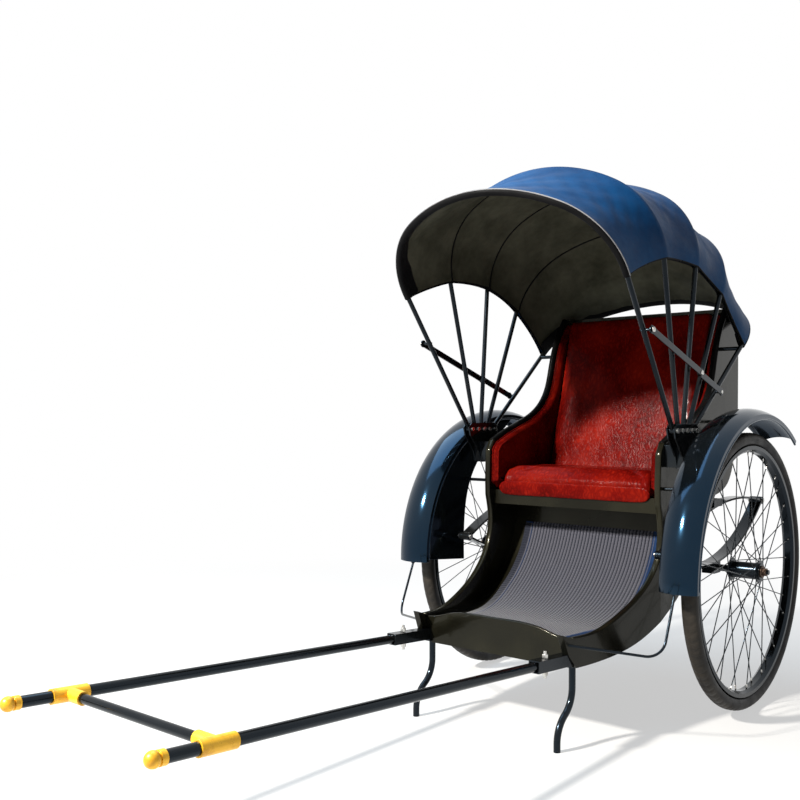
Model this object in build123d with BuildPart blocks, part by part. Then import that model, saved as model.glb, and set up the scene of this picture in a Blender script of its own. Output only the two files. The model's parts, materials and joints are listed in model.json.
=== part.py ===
from build123d import *
from math import asin, atan, cos, pi, radians, sin, tan
import os

os.makedirs("parts", exist_ok=True)

# A hand-pulled rickshaw, in millimetres. The ground is Z = 0, the shafts point along minus Y,
# and the passenger's left is plus X. Side profiles are drawn from the axle: first the distance
# behind it, then the height above it.

# Wheels and axle
wheel_radius = 400
track = 878
tyre_height = 38
tyre_half_width = 22.5
rim_depth = 18
rim_half_width = 17
rim_well_half = 9
rim_shoulder = 7
hub_half_length = 46
hub_radius = 24
hub_clearance = 0.05
hub_play = 1
flange_radius = 32
flange_thickness = 4
flange_place = 40
spoke_radius = 1.5
spoke_count = 36
spoke_circle = 27
spoke_rim_place = 4
spoke_gap = 0.5
axle_radius = 10
stub_radius = 7
stub_overhang = 67
washer_radius = 17
washer_thickness = 3
nut_radius = 12
nut_height = 11

# Springs
spring_offset = 104
leaf_width = 38
leaf_thickness = 6
spring_front = (-321, 67)
spring_rear = (353, 176)
lower_middle = (32.4, 19.8)
upper_middle_y = 6.1
eye_radius = 12
eye_clearance = 0.4
eye_half_width = 9
fork_clearance = 0.3
spring_pin = 5
spring_head_radius = 8
spring_head = 4.5
clamp_length = 46
clamp_height = 34
saddle_y = 5
saddle_length = 60
saddle_thickness = 12
saddle_seat = 3.3
bearer_thickness = 10

# Body
panel_inset = 35
panel_taper = 56
panel_bend = -260
panel_front = -689
panel_thickness = 18
riser_y = -104
riser_run = 12
floor_height = -142
floor_thickness = 12
carpet_thickness = 4
carpet_inset = 8
carpet_drop = 97
dash_y = -637
dash_thickness = 12
dash_depth = 55
iron_thickness = 8
iron_half_width = 10
seat_height = 214
seat_front = -240
seat_rear = 80
board_thickness = 12
rail_thickness = 18
rail_depth = 44
cushion_height = 76
back_y = 285
back_height = 572
back_foot = 62
back_lean = 0.2667
back_thickness = 12
pad_thickness = 20
pad_gap = 1

# Shafts and legs
shaft_inset = 14
shaft_radius = 12
shaft_slope = 0.0595
shaft_overlap = 150
socket_mouth = (-801, -164)
socket_half = 15
socket_end = -480
socket_bolt_y = -750
socket_bolt_radius = 4
socket_nut_radius = 8
socket_nut_height = 10
front_reach = 1920
ball_radius = 15
collar_radius = 14
collar_length = 12
tee_inset = 143
tee_half = 40
tee_wall = 3.5
branch_length = 52
branch_wall = 4
bar_clearance = 4
grip_radius = 10
leg_y = -620
leg_offset = 73
leg_radius = 9
leg_pad_length = 60
leg_pad_thickness = 5

# Fenders
fender_gap = 70
fender_inside = 52
fender_outside = 53
fender_lip = 30
fender_crown = 17
fender_thickness = 3
fender_rear_angle = 55
tie_radius = 5
tie_rear_y = 120
stay_rod_inset = 5
stay_rod_radius = 3.5
stay_rod_bend = 50
stay_rod_front = 57
stay_rod_drop = 162
stay_foot = (-666, -132)

# Hood
pivot_gap = 46
pivot_first = -287
pivot_pitch = 31.25
pivot_rise = 193
bow_radius = 7
bow_flare = 12
bow_corner = 240
bow_corner_angle = 60
bow_angles = (-36.4, -14.1, 6.4, 25.7, 51.6)
bow_tops = (764, 750, 738, 724, 700)
bow_eye_radius = 9
canopy_drops = (3, 4, 4, 11, 10)
canopy_gap = 0.1
canopy_thickness = 3
pin_radius = 4
pin_head_radius = 6.5
pin_head = 4
cheek_gap = 8.5
cheek_thickness = 4
stay_front_at = 326
stay_rear_at = 179
stay_share = 0.665
stay_gap = 24
stay_width = 18
stay_eye_radius = 11
stay_thickness = 4
stay_clearance = 2
prop_at = 400
prop_radius = 6

# Sizes that follow from those above
axle_y = (front_reach - wheel_radius) / 2
rim_radius = wheel_radius - tyre_height
rim_inner_radius = rim_radius - rim_depth
spring_x = track / 2 - spring_offset
panel_x = spring_x - panel_inset
panel_front_x = panel_x - panel_taper
inside = panel_x - panel_thickness
shaft_x = panel_front_x - shaft_inset
fender_inner_x = track / 2 - fender_inside
fender_outer_x = track / 2 + fender_outside
fender_radius = wheel_radius + fender_gap
fender_edge_radius = fender_radius - fender_lip
pivot_x = panel_x + pivot_gap
pivot_z = seat_height + pivot_rise
bow_half_width = pivot_x + bow_flare
stay_x = pivot_x + stay_gap
board_under = seat_height - board_thickness
back_top = seat_height + back_height
floor_radius = board_under - riser_run - floor_height
floor_centre = (riser_y - floor_radius, floor_height + floor_radius)
whole_height = wheel_radius + back_top + 100
plan_front = panel_front - 31
tee_centre = tee_inset - front_reach
slope_angle = atan(shaft_slope)
shaft_dir = Vector(0, -cos(slope_angle), sin(slope_angle))
socket_length = (socket_end - socket_mouth[0]) / cos(slope_angle)
half_turn = 2 ** -0.5
sides = (("left", 1), ("right", -1))


def side_plane(x):
    """Plane across X whose sketch axes are distance behind the axle and height above it."""
    return Plane(origin=(x, axle_y, wheel_radius), x_dir=(0, 1, 0), z_dir=(1, 0, 0))


def panel_face(y, inset):
    """X of the side panel's outer face at a distance behind the axle, moved inwards."""
    share = max(0, (panel_bend - y) / (panel_bend - panel_front))
    return panel_x - share * panel_taper - inset


def plan_half(inset):
    """Corner points of the body's plan, moved inwards, from the front to the back."""
    return [
        (panel_face(plan_front, inset), axle_y + plan_front),
        (panel_face(panel_bend, inset), axle_y + panel_bend),
        (panel_face(panel_bend, inset), axle_y + back_y + 20),
    ]


def plan_between(inset):
    """Plan outline across both sides."""
    half = plan_half(inset)
    return half + [(-x, y) for x, y in reversed(half)]


def plan_strip(sign):
    """Plan outline of one side panel."""
    outer = plan_half(0)
    inner = plan_half(panel_thickness)
    return [(sign * x, y) for x, y in outer + inner[::-1]]


def shaft_plane(x, along):
    """Plane square to a shaft, a distance forward of the socket mouth."""
    start = Vector(x, axle_y + socket_mouth[0], wheel_radius + socket_mouth[1]) + shaft_dir * along
    return Plane(origin=start, x_dir=(1, 0, 0), z_dir=shaft_dir)


def shaft_height(y):
    """Height of the shaft's centre line above the axle."""
    return socket_mouth[1] + shaft_slope * (socket_mouth[0] - y)


def between(share):
    """Height at a share of the way from the floor up to the seat."""
    return floor_height + share * (seat_height - floor_height)


def up_back(share):
    """Height at a share of the way from the seat up to the top of the back."""
    return seat_height + share * back_height


def behind_board(height):
    """Distance behind the axle of the back board's front face at a height above the seat."""
    return back_foot + back_lean * height


def bow_plane(index, turn=0):
    """Plane of a hood bow: X across, Y along the bow from its pivots."""
    angle = radians(bow_angles[index] + turn)
    return Plane(
        origin=(0, axle_y + pivot_first + index * pivot_pitch, wheel_radius + pivot_z),
        x_dir=(1, 0, 0),
        z_dir=(0, -cos(angle), sin(angle)),
    )


def bow_leg(index):
    """Length of a bow's straight leg, from its pivot to the corner."""
    turn = radians(bow_corner_angle)
    return bow_tops[index] - bow_corner - (bow_half_width - bow_corner) * (1 / cos(turn) - tan(turn))


def arch_points(index, out, start):
    """Leg, corner and crown points of a bow's arch, moved outwards, on the plus X side."""
    turn = radians(bow_corner_angle)
    leg = bow_leg(index)
    tilt = atan(bow_flare / leg)
    centre_x = bow_half_width - bow_corner * cos(tilt)
    centre_y = leg + bow_corner * sin(tilt)
    radius = bow_corner + out
    mid = (turn - tilt) / 2
    crown_y = centre_y - centre_x * tan(turn)
    crown = centre_x / cos(turn) + radius
    foot = (pivot_x + start * tan(tilt) + out / cos(tilt), start)
    corner = [(centre_x + radius * cos(a), centre_y + radius * sin(a)) for a in (-tilt, mid, turn)]
    return foot, corner, (0, crown_y + crown)


def flip(point):
    return (-point[0], point[1])


def draw_arch(index, out, start):
    """Arch of a bow from its foot at minus X over the crown to plus X."""
    foot, (low, middle, high), top = arch_points(index, out, start)
    Line(flip(foot), flip(low))
    ThreePointArc(flip(low), flip(middle), flip(high))
    ThreePointArc(flip(high), top, high)
    ThreePointArc(high, middle, low)
    Line(low, foot)
    return foot


def on_side(point):
    """Point as a distance behind the axle and a height above it."""
    return (point.Y - axle_y, point.Z - wheel_radius)


# Wheels: tyre, rim, and hub with its crossed spokes
tyre_half_section = [
    (rim_half_width, rim_radius), (tyre_half_width, rim_radius + 10),
    (tyre_half_width - 0.5, wheel_radius - 16), (tyre_half_width - 8, wheel_radius - 4), (6, wheel_radius),
]
for name, sign in sides:
    wheel_plane = side_plane(sign * track / 2)
    section_plane = Plane(origin=wheel_plane.origin, x_dir=(1, 0, 0), z_dir=(0, -1, 0))
    wheel_axis = Axis(wheel_plane.origin, (1, 0, 0))

    with BuildPart() as tyre:
        with BuildSketch(section_plane):
            with BuildLine():
                Polyline(*tyre_half_section, *[flip(point) for point in tyre_half_section[::-1]], close=True)
            make_face()
        revolve(axis=wheel_axis)
    tyre.part.label = f"tyre_{name}"
    export_step(tyre.part, f"parts/tyre_{name}.step")

    with BuildPart() as rim:
        with BuildSketch(section_plane):
            with BuildLine():
                rim_half = [
                    (rim_well_half, rim_inner_radius), (rim_half_width, rim_inner_radius + rim_shoulder),
                    (rim_half_width, rim_radius),
                ]
                Polyline(*rim_half, *[flip(point) for point in rim_half[::-1]], close=True)
            make_face()
        revolve(axis=wheel_axis)
    rim.part.label = f"rim_{name}"
    export_step(rim.part, f"parts/rim_{name}.step")

    spoke_planes = []
    for index in range(spoke_count):
        end = 1 if index % 2 else -1
        lean = 1 if index % 4 < 2 else -1
        hub_angle = 2 * pi * index / spoke_count
        rim_angle = hub_angle + lean * pi / 3
        near = wheel_plane.from_local_coords(
            Vector(spoke_circle * cos(hub_angle), spoke_circle * sin(hub_angle), end * flange_place)
        )
        reach = rim_inner_radius - spoke_gap
        far = wheel_plane.from_local_coords(
            Vector(reach * cos(rim_angle), reach * sin(rim_angle), end * spoke_rim_place)
        )
        spoke_planes.append(Plane(origin=near, z_dir=far - near))
        spoke_length = (far - near).length
    with BuildPart() as hub:
        with BuildSketch(wheel_plane):
            Circle(hub_radius)
        extrude(amount=hub_half_length, both=True)
        with BuildSketch(wheel_plane.offset(-flange_place), wheel_plane.offset(flange_place)):
            Circle(flange_radius)
        extrude(amount=flange_thickness / 2, both=True)
        with BuildSketch(*spoke_planes):
            RegularPolygon(spoke_radius, 6)
        extrude(amount=spoke_length)
        with BuildSketch(wheel_plane):
            Circle(stub_radius + hub_clearance)
        extrude(amount=hub_half_length, both=True, mode=Mode.SUBTRACT)
    hub.part.label = f"hub_{name}"
    export_step(hub.part, f"parts/hub_{name}.step")

# Axle with its stubs, and the washers and nuts that keep the hubs on
with BuildPart() as axle:
    with BuildSketch(side_plane(0)):
        Circle(axle_radius)
    extrude(amount=track / 2 - hub_half_length - hub_play, both=True)
    with BuildSketch(side_plane(0)):
        Circle(stub_radius)
    extrude(amount=track / 2 + stub_overhang, both=True)
axle.part.label = "axle"
export_step(axle.part, "parts/axle.step")

with BuildPart() as axle_nuts:
    washer_x = track / 2 + hub_half_length + hub_play
    for sign in (1, -1):
        with BuildSketch(side_plane(sign * washer_x)):
            Circle(washer_radius)
            Circle(stub_radius, mode=Mode.SUBTRACT)
        extrude(amount=sign * washer_thickness)
        with BuildSketch(side_plane(sign * (washer_x + washer_thickness))):
            RegularPolygon(nut_radius, 6)
            Circle(stub_radius, mode=Mode.SUBTRACT)
        extrude(amount=sign * nut_height)
axle_nuts.part.label = "axle_nuts"
export_step(axle_nuts.part, "parts/axle_nuts.step")

# Elliptic springs: forked upper leaves pinned over the lower leaves' single eyes
eyes = (spring_front, spring_rear)
saddle_z = board_under - bearer_thickness - saddle_thickness / 2
upper_middle = (upper_middle_y, saddle_z - saddle_seat)
for name, sign in sides:
    leaf_plane = side_plane(sign * spring_x)
    with BuildPart() as lower_leaf:
        with BuildSketch(leaf_plane):
            with BuildLine() as lower_line:
                ThreePointArc(spring_front, lower_middle, spring_rear)
            trace(lower_line.line, line_width=leaf_thickness)
            Rectangle(clamp_length, clamp_height)
            with Locations(*eyes):
                Circle(eye_radius + eye_clearance, mode=Mode.SUBTRACT)
        extrude(amount=leaf_width / 2, both=True)
        with BuildSketch(leaf_plane):
            with Locations(*eyes):
                Circle(eye_radius)
            with BuildLine() as lower_line:
                ThreePointArc(spring_front, lower_middle, spring_rear)
            trace(lower_line.line, line_width=leaf_thickness)
        extrude(amount=eye_half_width, both=True)
        with BuildSketch(leaf_plane):
            with Locations(*eyes):
                Circle(spring_pin)
            Circle(axle_radius)
        extrude(amount=leaf_width, both=True, mode=Mode.SUBTRACT)
    lower_leaf.part.label = f"spring_lower_{name}"
    export_step(lower_leaf.part, f"parts/spring_lower_{name}.step")

    with BuildPart() as upper_leaf:
        with BuildSketch(leaf_plane):
            with BuildLine() as upper_line:
                ThreePointArc(spring_front, upper_middle, spring_rear)
            trace(upper_line.line, line_width=leaf_thickness)
            with Locations(*eyes):
                Circle(eye_radius)
            with Locations((saddle_y, saddle_z)):
                Rectangle(saddle_length, saddle_thickness)
        extrude(amount=leaf_width / 2, both=True)
        with BuildSketch(leaf_plane):
            with Locations(*eyes):
                Circle(eye_radius + eye_clearance)
        extrude(amount=eye_half_width + fork_clearance, both=True, mode=Mode.SUBTRACT)
        with BuildSketch(leaf_plane):
            with Locations(*eyes):
                Circle(spring_pin)
        extrude(amount=leaf_width, both=True, mode=Mode.SUBTRACT)
    upper_leaf.part.label = f"spring_upper_{name}"
    export_step(upper_leaf.part, f"parts/spring_upper_{name}.step")

with BuildPart() as spring_bolts:
    for sign in (1, -1):
        with BuildSketch(side_plane(sign * spring_x)):
            with Locations(*eyes):
                Circle(spring_pin)
        extrude(amount=leaf_width / 2, both=True)
        outer_head = sign * (spring_x + leaf_width / 2)
        inner_head = sign * (spring_x - leaf_width / 2 - spring_head)
        with BuildSketch(side_plane(outer_head), side_plane(inner_head)):
            with Locations(*eyes):
                Circle(spring_head_radius)
        extrude(amount=sign * spring_head)
spring_bolts.part.label = "spring_bolts"
export_step(spring_bolts.part, "parts/spring_bolts.step")

# Side panels: one profile from the front horn over the scroll and the arm to the back
arm_line = [
    (y, up_back(share))
    for y, share in (
        (-240, 0.2745), (-167, 0.3252), (-50, 0.3934), (42, 0.4773), (86, 0.5682), (112, 0.6906), (137, 0.82),
        (178, 0.942), (204, 1),
    )
]
scroll_line = [
    (y, between(share))
    for y, share in (
        (-645, 0.065), (-544, 0.07), (-458, 0.135), (-335, 0.303), (-268, 0.503), (-247, 0.722), (-262, 0.961)
    )
]
skirt_line = [(-28, board_under)] + [
    (y, between(share))
    for y, share in (
        (-38, 0.652), (-60, 0.455), (-149, 0.188), (-213, 0.0955), (-354, -0.0675), (-526, -0.143), (-634, -0.149)
    )
]
horn = [(-665, floor_height - 18), (panel_front, floor_height + 38)]
arm_front = [(-264, seat_height + 36), (-260, seat_height + 126)]
rear_top = seat_height + 186
rear_line = [
    (back_y, rear_top), (252, seat_height + 94), (211, seat_height + 27), (140, seat_height - 4),
    (seat_rear, board_under),
]
for name, sign in sides:
    with BuildPart() as panel:
        with BuildSketch(side_plane(sign * (shaft_x - 2 * socket_half))):
            with BuildLine():
                Polyline(skirt_line[-1], *horn, scroll_line[0])
                Spline(*scroll_line)
                Polyline(scroll_line[-1], *arm_front, arm_line[0])
                Spline(*arm_line)
                Polyline(arm_line[-1], (back_y, back_top), rear_line[0])
                Spline(*rear_line)
                Line(rear_line[-1], skirt_line[0])
                Spline(*skirt_line)
            make_face()
        extrude(amount=sign * (panel_x - shaft_x + 3 * socket_half))
        with BuildSketch(Plane.XY):
            Polygon(*plan_strip(sign), align=None)
        extrude(amount=whole_height, mode=Mode.INTERSECT)
        with BuildSketch(shaft_plane(sign * shaft_x, -socket_length - 8)):
            with Locations((0, -4 * socket_half)):
                Rectangle(2 * socket_half, 10 * socket_half)
        extrude(amount=socket_length + 18, mode=Mode.SUBTRACT)
    panel.part.label = f"side_panel_{name}"
    export_step(panel.part, f"parts/side_panel_{name}.step")


# Floor board, curved up behind the feet, with the carpet on it
def floor_strip(radius, depth, front):
    """Profile of a sheet that follows the floor, from the front to the top of the riser."""
    y, z = floor_centre
    outer = radius + depth
    Polyline((y, z - radius), (front, z - radius), (front, z - outer), (y, z - outer))
    ThreePointArc((y, z - outer), (y + outer * half_turn, z - outer * half_turn), (y + outer, z))
    Polyline((y + outer, z), (y + outer, board_under), (y + radius, board_under), (y + radius, z))
    ThreePointArc((y + radius, z), (y + radius * half_turn, z - radius * half_turn), (y, z - radius))


floor_front = dash_y + dash_thickness / 2
with BuildPart() as floor_board:
    with BuildSketch(side_plane(-panel_x)):
        with BuildLine():
            floor_strip(floor_radius, floor_thickness, floor_front)
        make_face()
    extrude(amount=2 * panel_x)
    with BuildSketch(Plane.XY):
        Polygon(*plan_between(panel_thickness), align=None)
    extrude(amount=whole_height, mode=Mode.INTERSECT)
floor_board.part.label = "floor_board"
export_step(floor_board.part, "parts/floor_board.step")

with BuildPart() as carpet:
    with BuildSketch(side_plane(-panel_x)):
        with BuildLine():
            floor_strip(floor_radius - carpet_thickness, carpet_thickness, floor_front + 2)
        make_face()
        with Locations((riser_y, board_under)):
            Rectangle(10 * floor_thickness, 2 * carpet_drop, mode=Mode.SUBTRACT)
    extrude(amount=2 * panel_x)
    with BuildSketch(Plane.XY):
        Polygon(*plan_between(panel_thickness + carpet_inset), align=None)
    extrude(amount=whole_height, mode=Mode.INTERSECT)
carpet.part.label = "carpet"
export_step(carpet.part, "parts/carpet.step")

# Dash board with its wavy top, notched over the shaft sockets
dash_end = panel_front_x + 16
dash_wave = [
    (dash_end, floor_height + 17), (panel_front_x - 39, floor_height + 19), (panel_front_x - 89, floor_height + 32),
]
with BuildPart() as dash_board:
    with BuildSketch(Plane(origin=(0, axle_y + dash_y, wheel_radius), x_dir=(1, 0, 0), z_dir=(0, -1, 0))):
        with BuildLine():
            Polyline(
                flip(dash_wave[0]), (-dash_end, floor_height - dash_depth), (dash_end, floor_height - dash_depth),
                dash_wave[0],
            )
            Spline(*dash_wave, (0, floor_height + 41), *[flip(point) for point in dash_wave[::-1]])
        make_face()
    extrude(amount=dash_thickness / 2, both=True)
    with BuildSketch(Plane.XY):
        Polygon(*plan_between(panel_thickness), align=None)
    extrude(amount=whole_height, mode=Mode.INTERSECT)
    for sign in (1, -1):
        with BuildSketch(shaft_plane(sign * shaft_x, -socket_length - 8)):
            with Locations((0, -4 * socket_half)):
                Rectangle(2 * socket_half, 10 * socket_half)
        extrude(amount=socket_length + 18, mode=Mode.SUBTRACT)
dash_board.part.label = "dash_board"
export_step(dash_board.part, "parts/dash_board.step")

# Irons between the sockets and the floor, turned up behind the riser
with BuildPart() as floor_irons:
    y, z = floor_centre
    inner = floor_radius + floor_thickness
    outer = inner + iron_thickness
    lift = socket_half / cos(slope_angle)
    for sign in (1, -1):
        with BuildSketch(side_plane(sign * (shaft_x - 8))):
            with BuildLine():
                Polyline(
                    (y, z - inner), (floor_front, z - inner), (floor_front, shaft_height(floor_front) + lift),
                    (socket_end, shaft_height(socket_end) + lift), (socket_end, z - outer), (y, z - outer),
                )
                ThreePointArc((y, z - outer), (y + outer * half_turn, z - outer * half_turn), (y + outer, z))
                Polyline((y + outer, z), (y + outer, board_under), (y + inner, board_under), (y + inner, z))
                ThreePointArc((y + inner, z), (y + inner * half_turn, z - inner * half_turn), (y, z - inner))
            make_face()
        extrude(amount=iron_half_width, both=True)
floor_irons.part.label = "floor_irons"
export_step(floor_irons.part, "parts/floor_irons.step")

# Bearer across the springs, under the seat
with BuildPart() as spring_bearer:
    with BuildSketch(side_plane(0)):
        with Locations((saddle_y, board_under - bearer_thickness / 2)):
            Rectangle(saddle_length, bearer_thickness)
    extrude(amount=spring_x + leaf_width / 2, both=True)
spring_bearer.part.label = "spring_bearer"
export_step(spring_bearer.part, "parts/spring_bearer.step")

# Seat: front rail, board, leaning back board and the back panel
with BuildPart() as seat_rail:
    with BuildSketch(side_plane(0)):
        with Locations((seat_front + rail_thickness / 2, seat_height - rail_depth / 2)):
            Rectangle(rail_thickness, rail_depth)
    extrude(amount=inside, both=True)
seat_rail.part.label = "seat_rail"
export_step(seat_rail.part, "parts/seat_rail.step")

board_front = seat_front + rail_thickness
with BuildPart() as seat_board:
    with BuildSketch(side_plane(0)):
        with Locations(((board_front + seat_rear) / 2, seat_height - board_thickness / 2)):
            Rectangle(seat_rear - board_front, board_thickness)
    extrude(amount=inside, both=True)
seat_board.part.label = "seat_board"
export_step(seat_board.part, "parts/seat_board.step")

board_rise = back_height - back_thickness
board_top = (behind_board(board_rise), seat_height + board_rise)
with BuildPart() as back_board:
    with BuildSketch(side_plane(0)):
        with BuildLine():
            Polyline(
                (back_foot, seat_height), board_top, (board_top[0] + back_thickness, board_top[1]),
                (back_foot + back_thickness, seat_height), close=True,
            )
        make_face()
    extrude(amount=inside, both=True)
back_board.part.label = "back_board"
export_step(back_board.part, "parts/back_board.step")

inner_line = [(y, seat_height + rise) for y, rise in ((241, 100), (203, 37), (138, 8))]
with BuildPart() as back_panel:
    inner_y = back_y - back_thickness
    with BuildSketch(side_plane(0)):
        with BuildLine():
            Line((seat_rear + 2, seat_height), (seat_rear, board_under))
            Spline(*rear_line[::-1])
            Polyline(
                rear_line[0], (back_y, back_top), (board_top[0], back_top), board_top, (inner_y, board_top[1]),
                (inner_y, rear_top),
            )
            Spline((inner_y, rear_top), *inner_line, (seat_rear + 2, seat_height))
        make_face()
    extrude(amount=inside, both=True)
back_panel.part.label = "back_panel"
export_step(back_panel.part, "parts/back_panel.step")

# Upholstery
pad_inside = inside - pad_thickness
cushion_top = seat_height + cushion_height
with BuildPart() as seat_cushion:
    with BuildSketch(side_plane(0)):
        with BuildLine() as cushion_line:
            Polyline(
                (seat_front - 4, seat_height), (seat_front - 8, seat_height + 26), (seat_front + 8, cushion_top - 8),
                (-150, cushion_top), (35, cushion_top - 10), (14, seat_height), close=True,
            )
        make_face()
        fillet(cushion_line.vertices().sort_by(Axis.Y)[-3:], 6)
    extrude(amount=pad_inside - pad_gap, both=True)
seat_cushion.part.label = "seat_cushion"
export_step(seat_cushion.part, "parts/seat_cushion.step")

with BuildPart() as back_pad:
    with BuildSketch(side_plane(0)):
        with BuildLine():
            Polyline(
                (36, cushion_top - 8), (board_top[0] - 44, back_top - 16), (board_top[0] - 34, back_top),
                (board_top[0], back_top), board_top, (behind_board(pad_gap), seat_height + pad_gap),
                (17, seat_height + pad_gap), close=True,
            )
        make_face()
    extrude(amount=pad_inside - pad_gap, both=True)
back_pad.part.label = "back_pad"
export_step(back_pad.part, "parts/back_pad.step")

pad_line = [
    (y, up_back(share))
    for y, share in (
        (-230, 0.2622), (-165, 0.3094), (-46, 0.3776), (50, 0.465), (95, 0.5612), (121, 0.6906), (146, 0.82),
        (184, 0.928), (203, 0.972),
    )
]
pad_front = [(y, seat_height + rise) for y, rise in ((-218, 0), (-254, 26), (-250, 128))]
pad_rise = pad_line[-1][1] - seat_height
for name, sign in sides:
    with BuildPart() as arm_pad:
        with BuildSketch(side_plane(sign * pad_inside)):
            with BuildLine():
                Polyline((back_foot, seat_height), *pad_front, pad_line[0])
                Spline(*pad_line)
                Polyline(pad_line[-1], (behind_board(pad_rise), pad_line[-1][1]), (back_foot, seat_height))
            make_face()
        extrude(amount=sign * pad_thickness)
    arm_pad.part.label = f"arm_pad_{name}"
    export_step(arm_pad.part, f"parts/arm_pad_{name}.step")

# Shafts, sockets, bolts, tees, cross bar, ball ends and prop legs
ball_along = (front_reach - ball_radius + socket_mouth[0]) / cos(slope_angle)
shaft_end = ball_along - ball_radius - 7
tee_along = (socket_mouth[0] - tee_centre) / cos(slope_angle)
for name, sign in sides:
    with BuildPart() as shaft:
        with BuildSketch(shaft_plane(sign * shaft_x, -shaft_overlap)):
            Circle(shaft_radius)
        extrude(amount=shaft_end + shaft_overlap)
        with BuildSketch(Plane.XY):
            with Locations((sign * shaft_x, axle_y + socket_bolt_y)):
                Circle(socket_bolt_radius)
        extrude(amount=wheel_radius, mode=Mode.SUBTRACT)
    shaft.part.label = f"shaft_{name}"
    export_step(shaft.part, f"parts/shaft_{name}.step")

with BuildPart() as shaft_sockets:
    for sign in (1, -1):
        with BuildSketch(shaft_plane(sign * shaft_x, -socket_length)):
            Rectangle(2 * socket_half, 2 * socket_half)
            Rectangle(2 * shaft_radius, 2 * shaft_radius, mode=Mode.SUBTRACT)
        extrude(amount=socket_length)
    for sign in (1, -1):
        with BuildSketch(Plane.XY):
            with Locations((sign * shaft_x, axle_y + socket_bolt_y)):
                Circle(socket_bolt_radius)
        extrude(amount=wheel_radius, mode=Mode.SUBTRACT)
shaft_sockets.part.label = "shaft_sockets"
export_step(shaft_sockets.part, "parts/shaft_sockets.step")

with BuildPart() as socket_bolts:
    bolt_z = wheel_radius + shaft_height(socket_bolt_y)
    nut_seat = socket_half + 1
    bolt_half = nut_seat + socket_nut_height + 8
    for sign in (1, -1):
        place = (sign * shaft_x, axle_y + socket_bolt_y)
        with BuildSketch(Plane.XY.offset(bolt_z - bolt_half)):
            with Locations(place):
                Circle(socket_bolt_radius)
        extrude(amount=2 * bolt_half)
        with BuildSketch(Plane.XY.offset(bolt_z - nut_seat - socket_nut_height), Plane.XY.offset(bolt_z + nut_seat)):
            with Locations(place):
                RegularPolygon(socket_nut_radius, 6)
        extrude(amount=socket_nut_height)
socket_bolts.part.label = "socket_bolts"
export_step(socket_bolts.part, "parts/socket_bolts.step")

branch = shaft_x - branch_length
bore = shaft_x - shaft_radius - bar_clearance
tee_height = wheel_radius + shaft_height(tee_centre)
with BuildPart() as shaft_tees:
    for sign in (1, -1):
        with BuildSketch(shaft_plane(sign * shaft_x, tee_along - tee_half)):
            Circle(shaft_radius + tee_wall)
        extrude(amount=2 * tee_half)
        with BuildSketch(Plane(origin=(sign * branch, axle_y + tee_centre, tee_height), z_dir=(sign, 0, 0))):
            Circle(grip_radius + branch_wall)
        extrude(amount=branch_length)
    for sign in (1, -1):
        with BuildSketch(shaft_plane(sign * shaft_x, tee_along - tee_half - 5)):
            Circle(shaft_radius)
        extrude(amount=2 * tee_half + 10, mode=Mode.SUBTRACT)
        with BuildSketch(Plane(origin=(sign * branch, axle_y + tee_centre, tee_height), z_dir=(sign, 0, 0))):
            Circle(grip_radius)
        extrude(amount=bore - branch, mode=Mode.SUBTRACT)
shaft_tees.part.label = "shaft_tees"
export_step(shaft_tees.part, "parts/shaft_tees.step")

with BuildPart() as cross_bar:
    with BuildSketch(Plane(origin=(0, axle_y + tee_centre, tee_height), z_dir=(1, 0, 0))):
        Circle(grip_radius)
    extrude(amount=bore, both=True)
cross_bar.part.label = "cross_bar"
export_step(cross_bar.part, "parts/cross_bar.step")

with BuildPart() as ball_ends:
    for sign in (1, -1):
        with BuildSketch(shaft_plane(sign * shaft_x, shaft_end)):
            Circle(collar_radius)
        extrude(amount=collar_length)
        with Locations(shaft_plane(sign * shaft_x, ball_along).origin):
            Sphere(ball_radius)
    for sign in (1, -1):
        with BuildSketch(shaft_plane(sign * shaft_x, shaft_end - 20)):
            Circle(collar_radius)
        extrude(amount=20, mode=Mode.SUBTRACT)
ball_ends.part.label = "ball_ends"
export_step(ball_ends.part, "parts/ball_ends.step")

# Each leg hangs from its socket, then bends forward in two equal arcs and stands on the ground
leg_top = shaft_height(leg_y) - socket_half / cos(slope_angle)
leg_drop = leg_top + wheel_radius
bend_top = leg_top - 0.286 * leg_drop
bend_foot = leg_top - 0.905 * leg_drop
bend_height = bend_top - bend_foot
bend_radius = (leg_offset ** 2 + bend_height ** 2) / (4 * leg_offset)
bend_half = asin(bend_height / (2 * bend_radius)) / 2
bend_middle = (leg_y - leg_offset / 2, (bend_top + bend_foot) / 2)
upper_bend = (leg_y - bend_radius * (1 - cos(bend_half)), bend_top - bend_radius * sin(bend_half))
lower_bend = (2 * bend_middle[0] - upper_bend[0], 2 * bend_middle[1] - upper_bend[1])
leg_foot_y = leg_y - leg_offset
for name, sign in sides:
    with BuildPart() as leg:
        leg_along = (socket_mouth[0] - leg_y) / cos(slope_angle)
        with BuildSketch(shaft_plane(sign * shaft_x, leg_along - leg_pad_length / 2)):
            with Locations((0, -socket_half - leg_pad_thickness / 2)):
                Rectangle(2 * socket_half, leg_pad_thickness)
        extrude(amount=leg_pad_length)
        with BuildLine(side_plane(sign * shaft_x)) as leg_line:
            Line((leg_y, leg_top - 3), (leg_y, bend_top))
            ThreePointArc((leg_y, bend_top), upper_bend, bend_middle)
            ThreePointArc(bend_middle, lower_bend, (leg_foot_y, bend_foot))
            Line((leg_foot_y, bend_foot), (leg_foot_y, -wheel_radius))
        with BuildSketch(Plane(origin=leg_line.line @ 0, z_dir=leg_line.line % 0)):
            Circle(leg_radius)
        sweep()
    leg.part.label = f"leg_{name}"
    export_step(leg.part, f"parts/leg_{name}.step")

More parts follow.
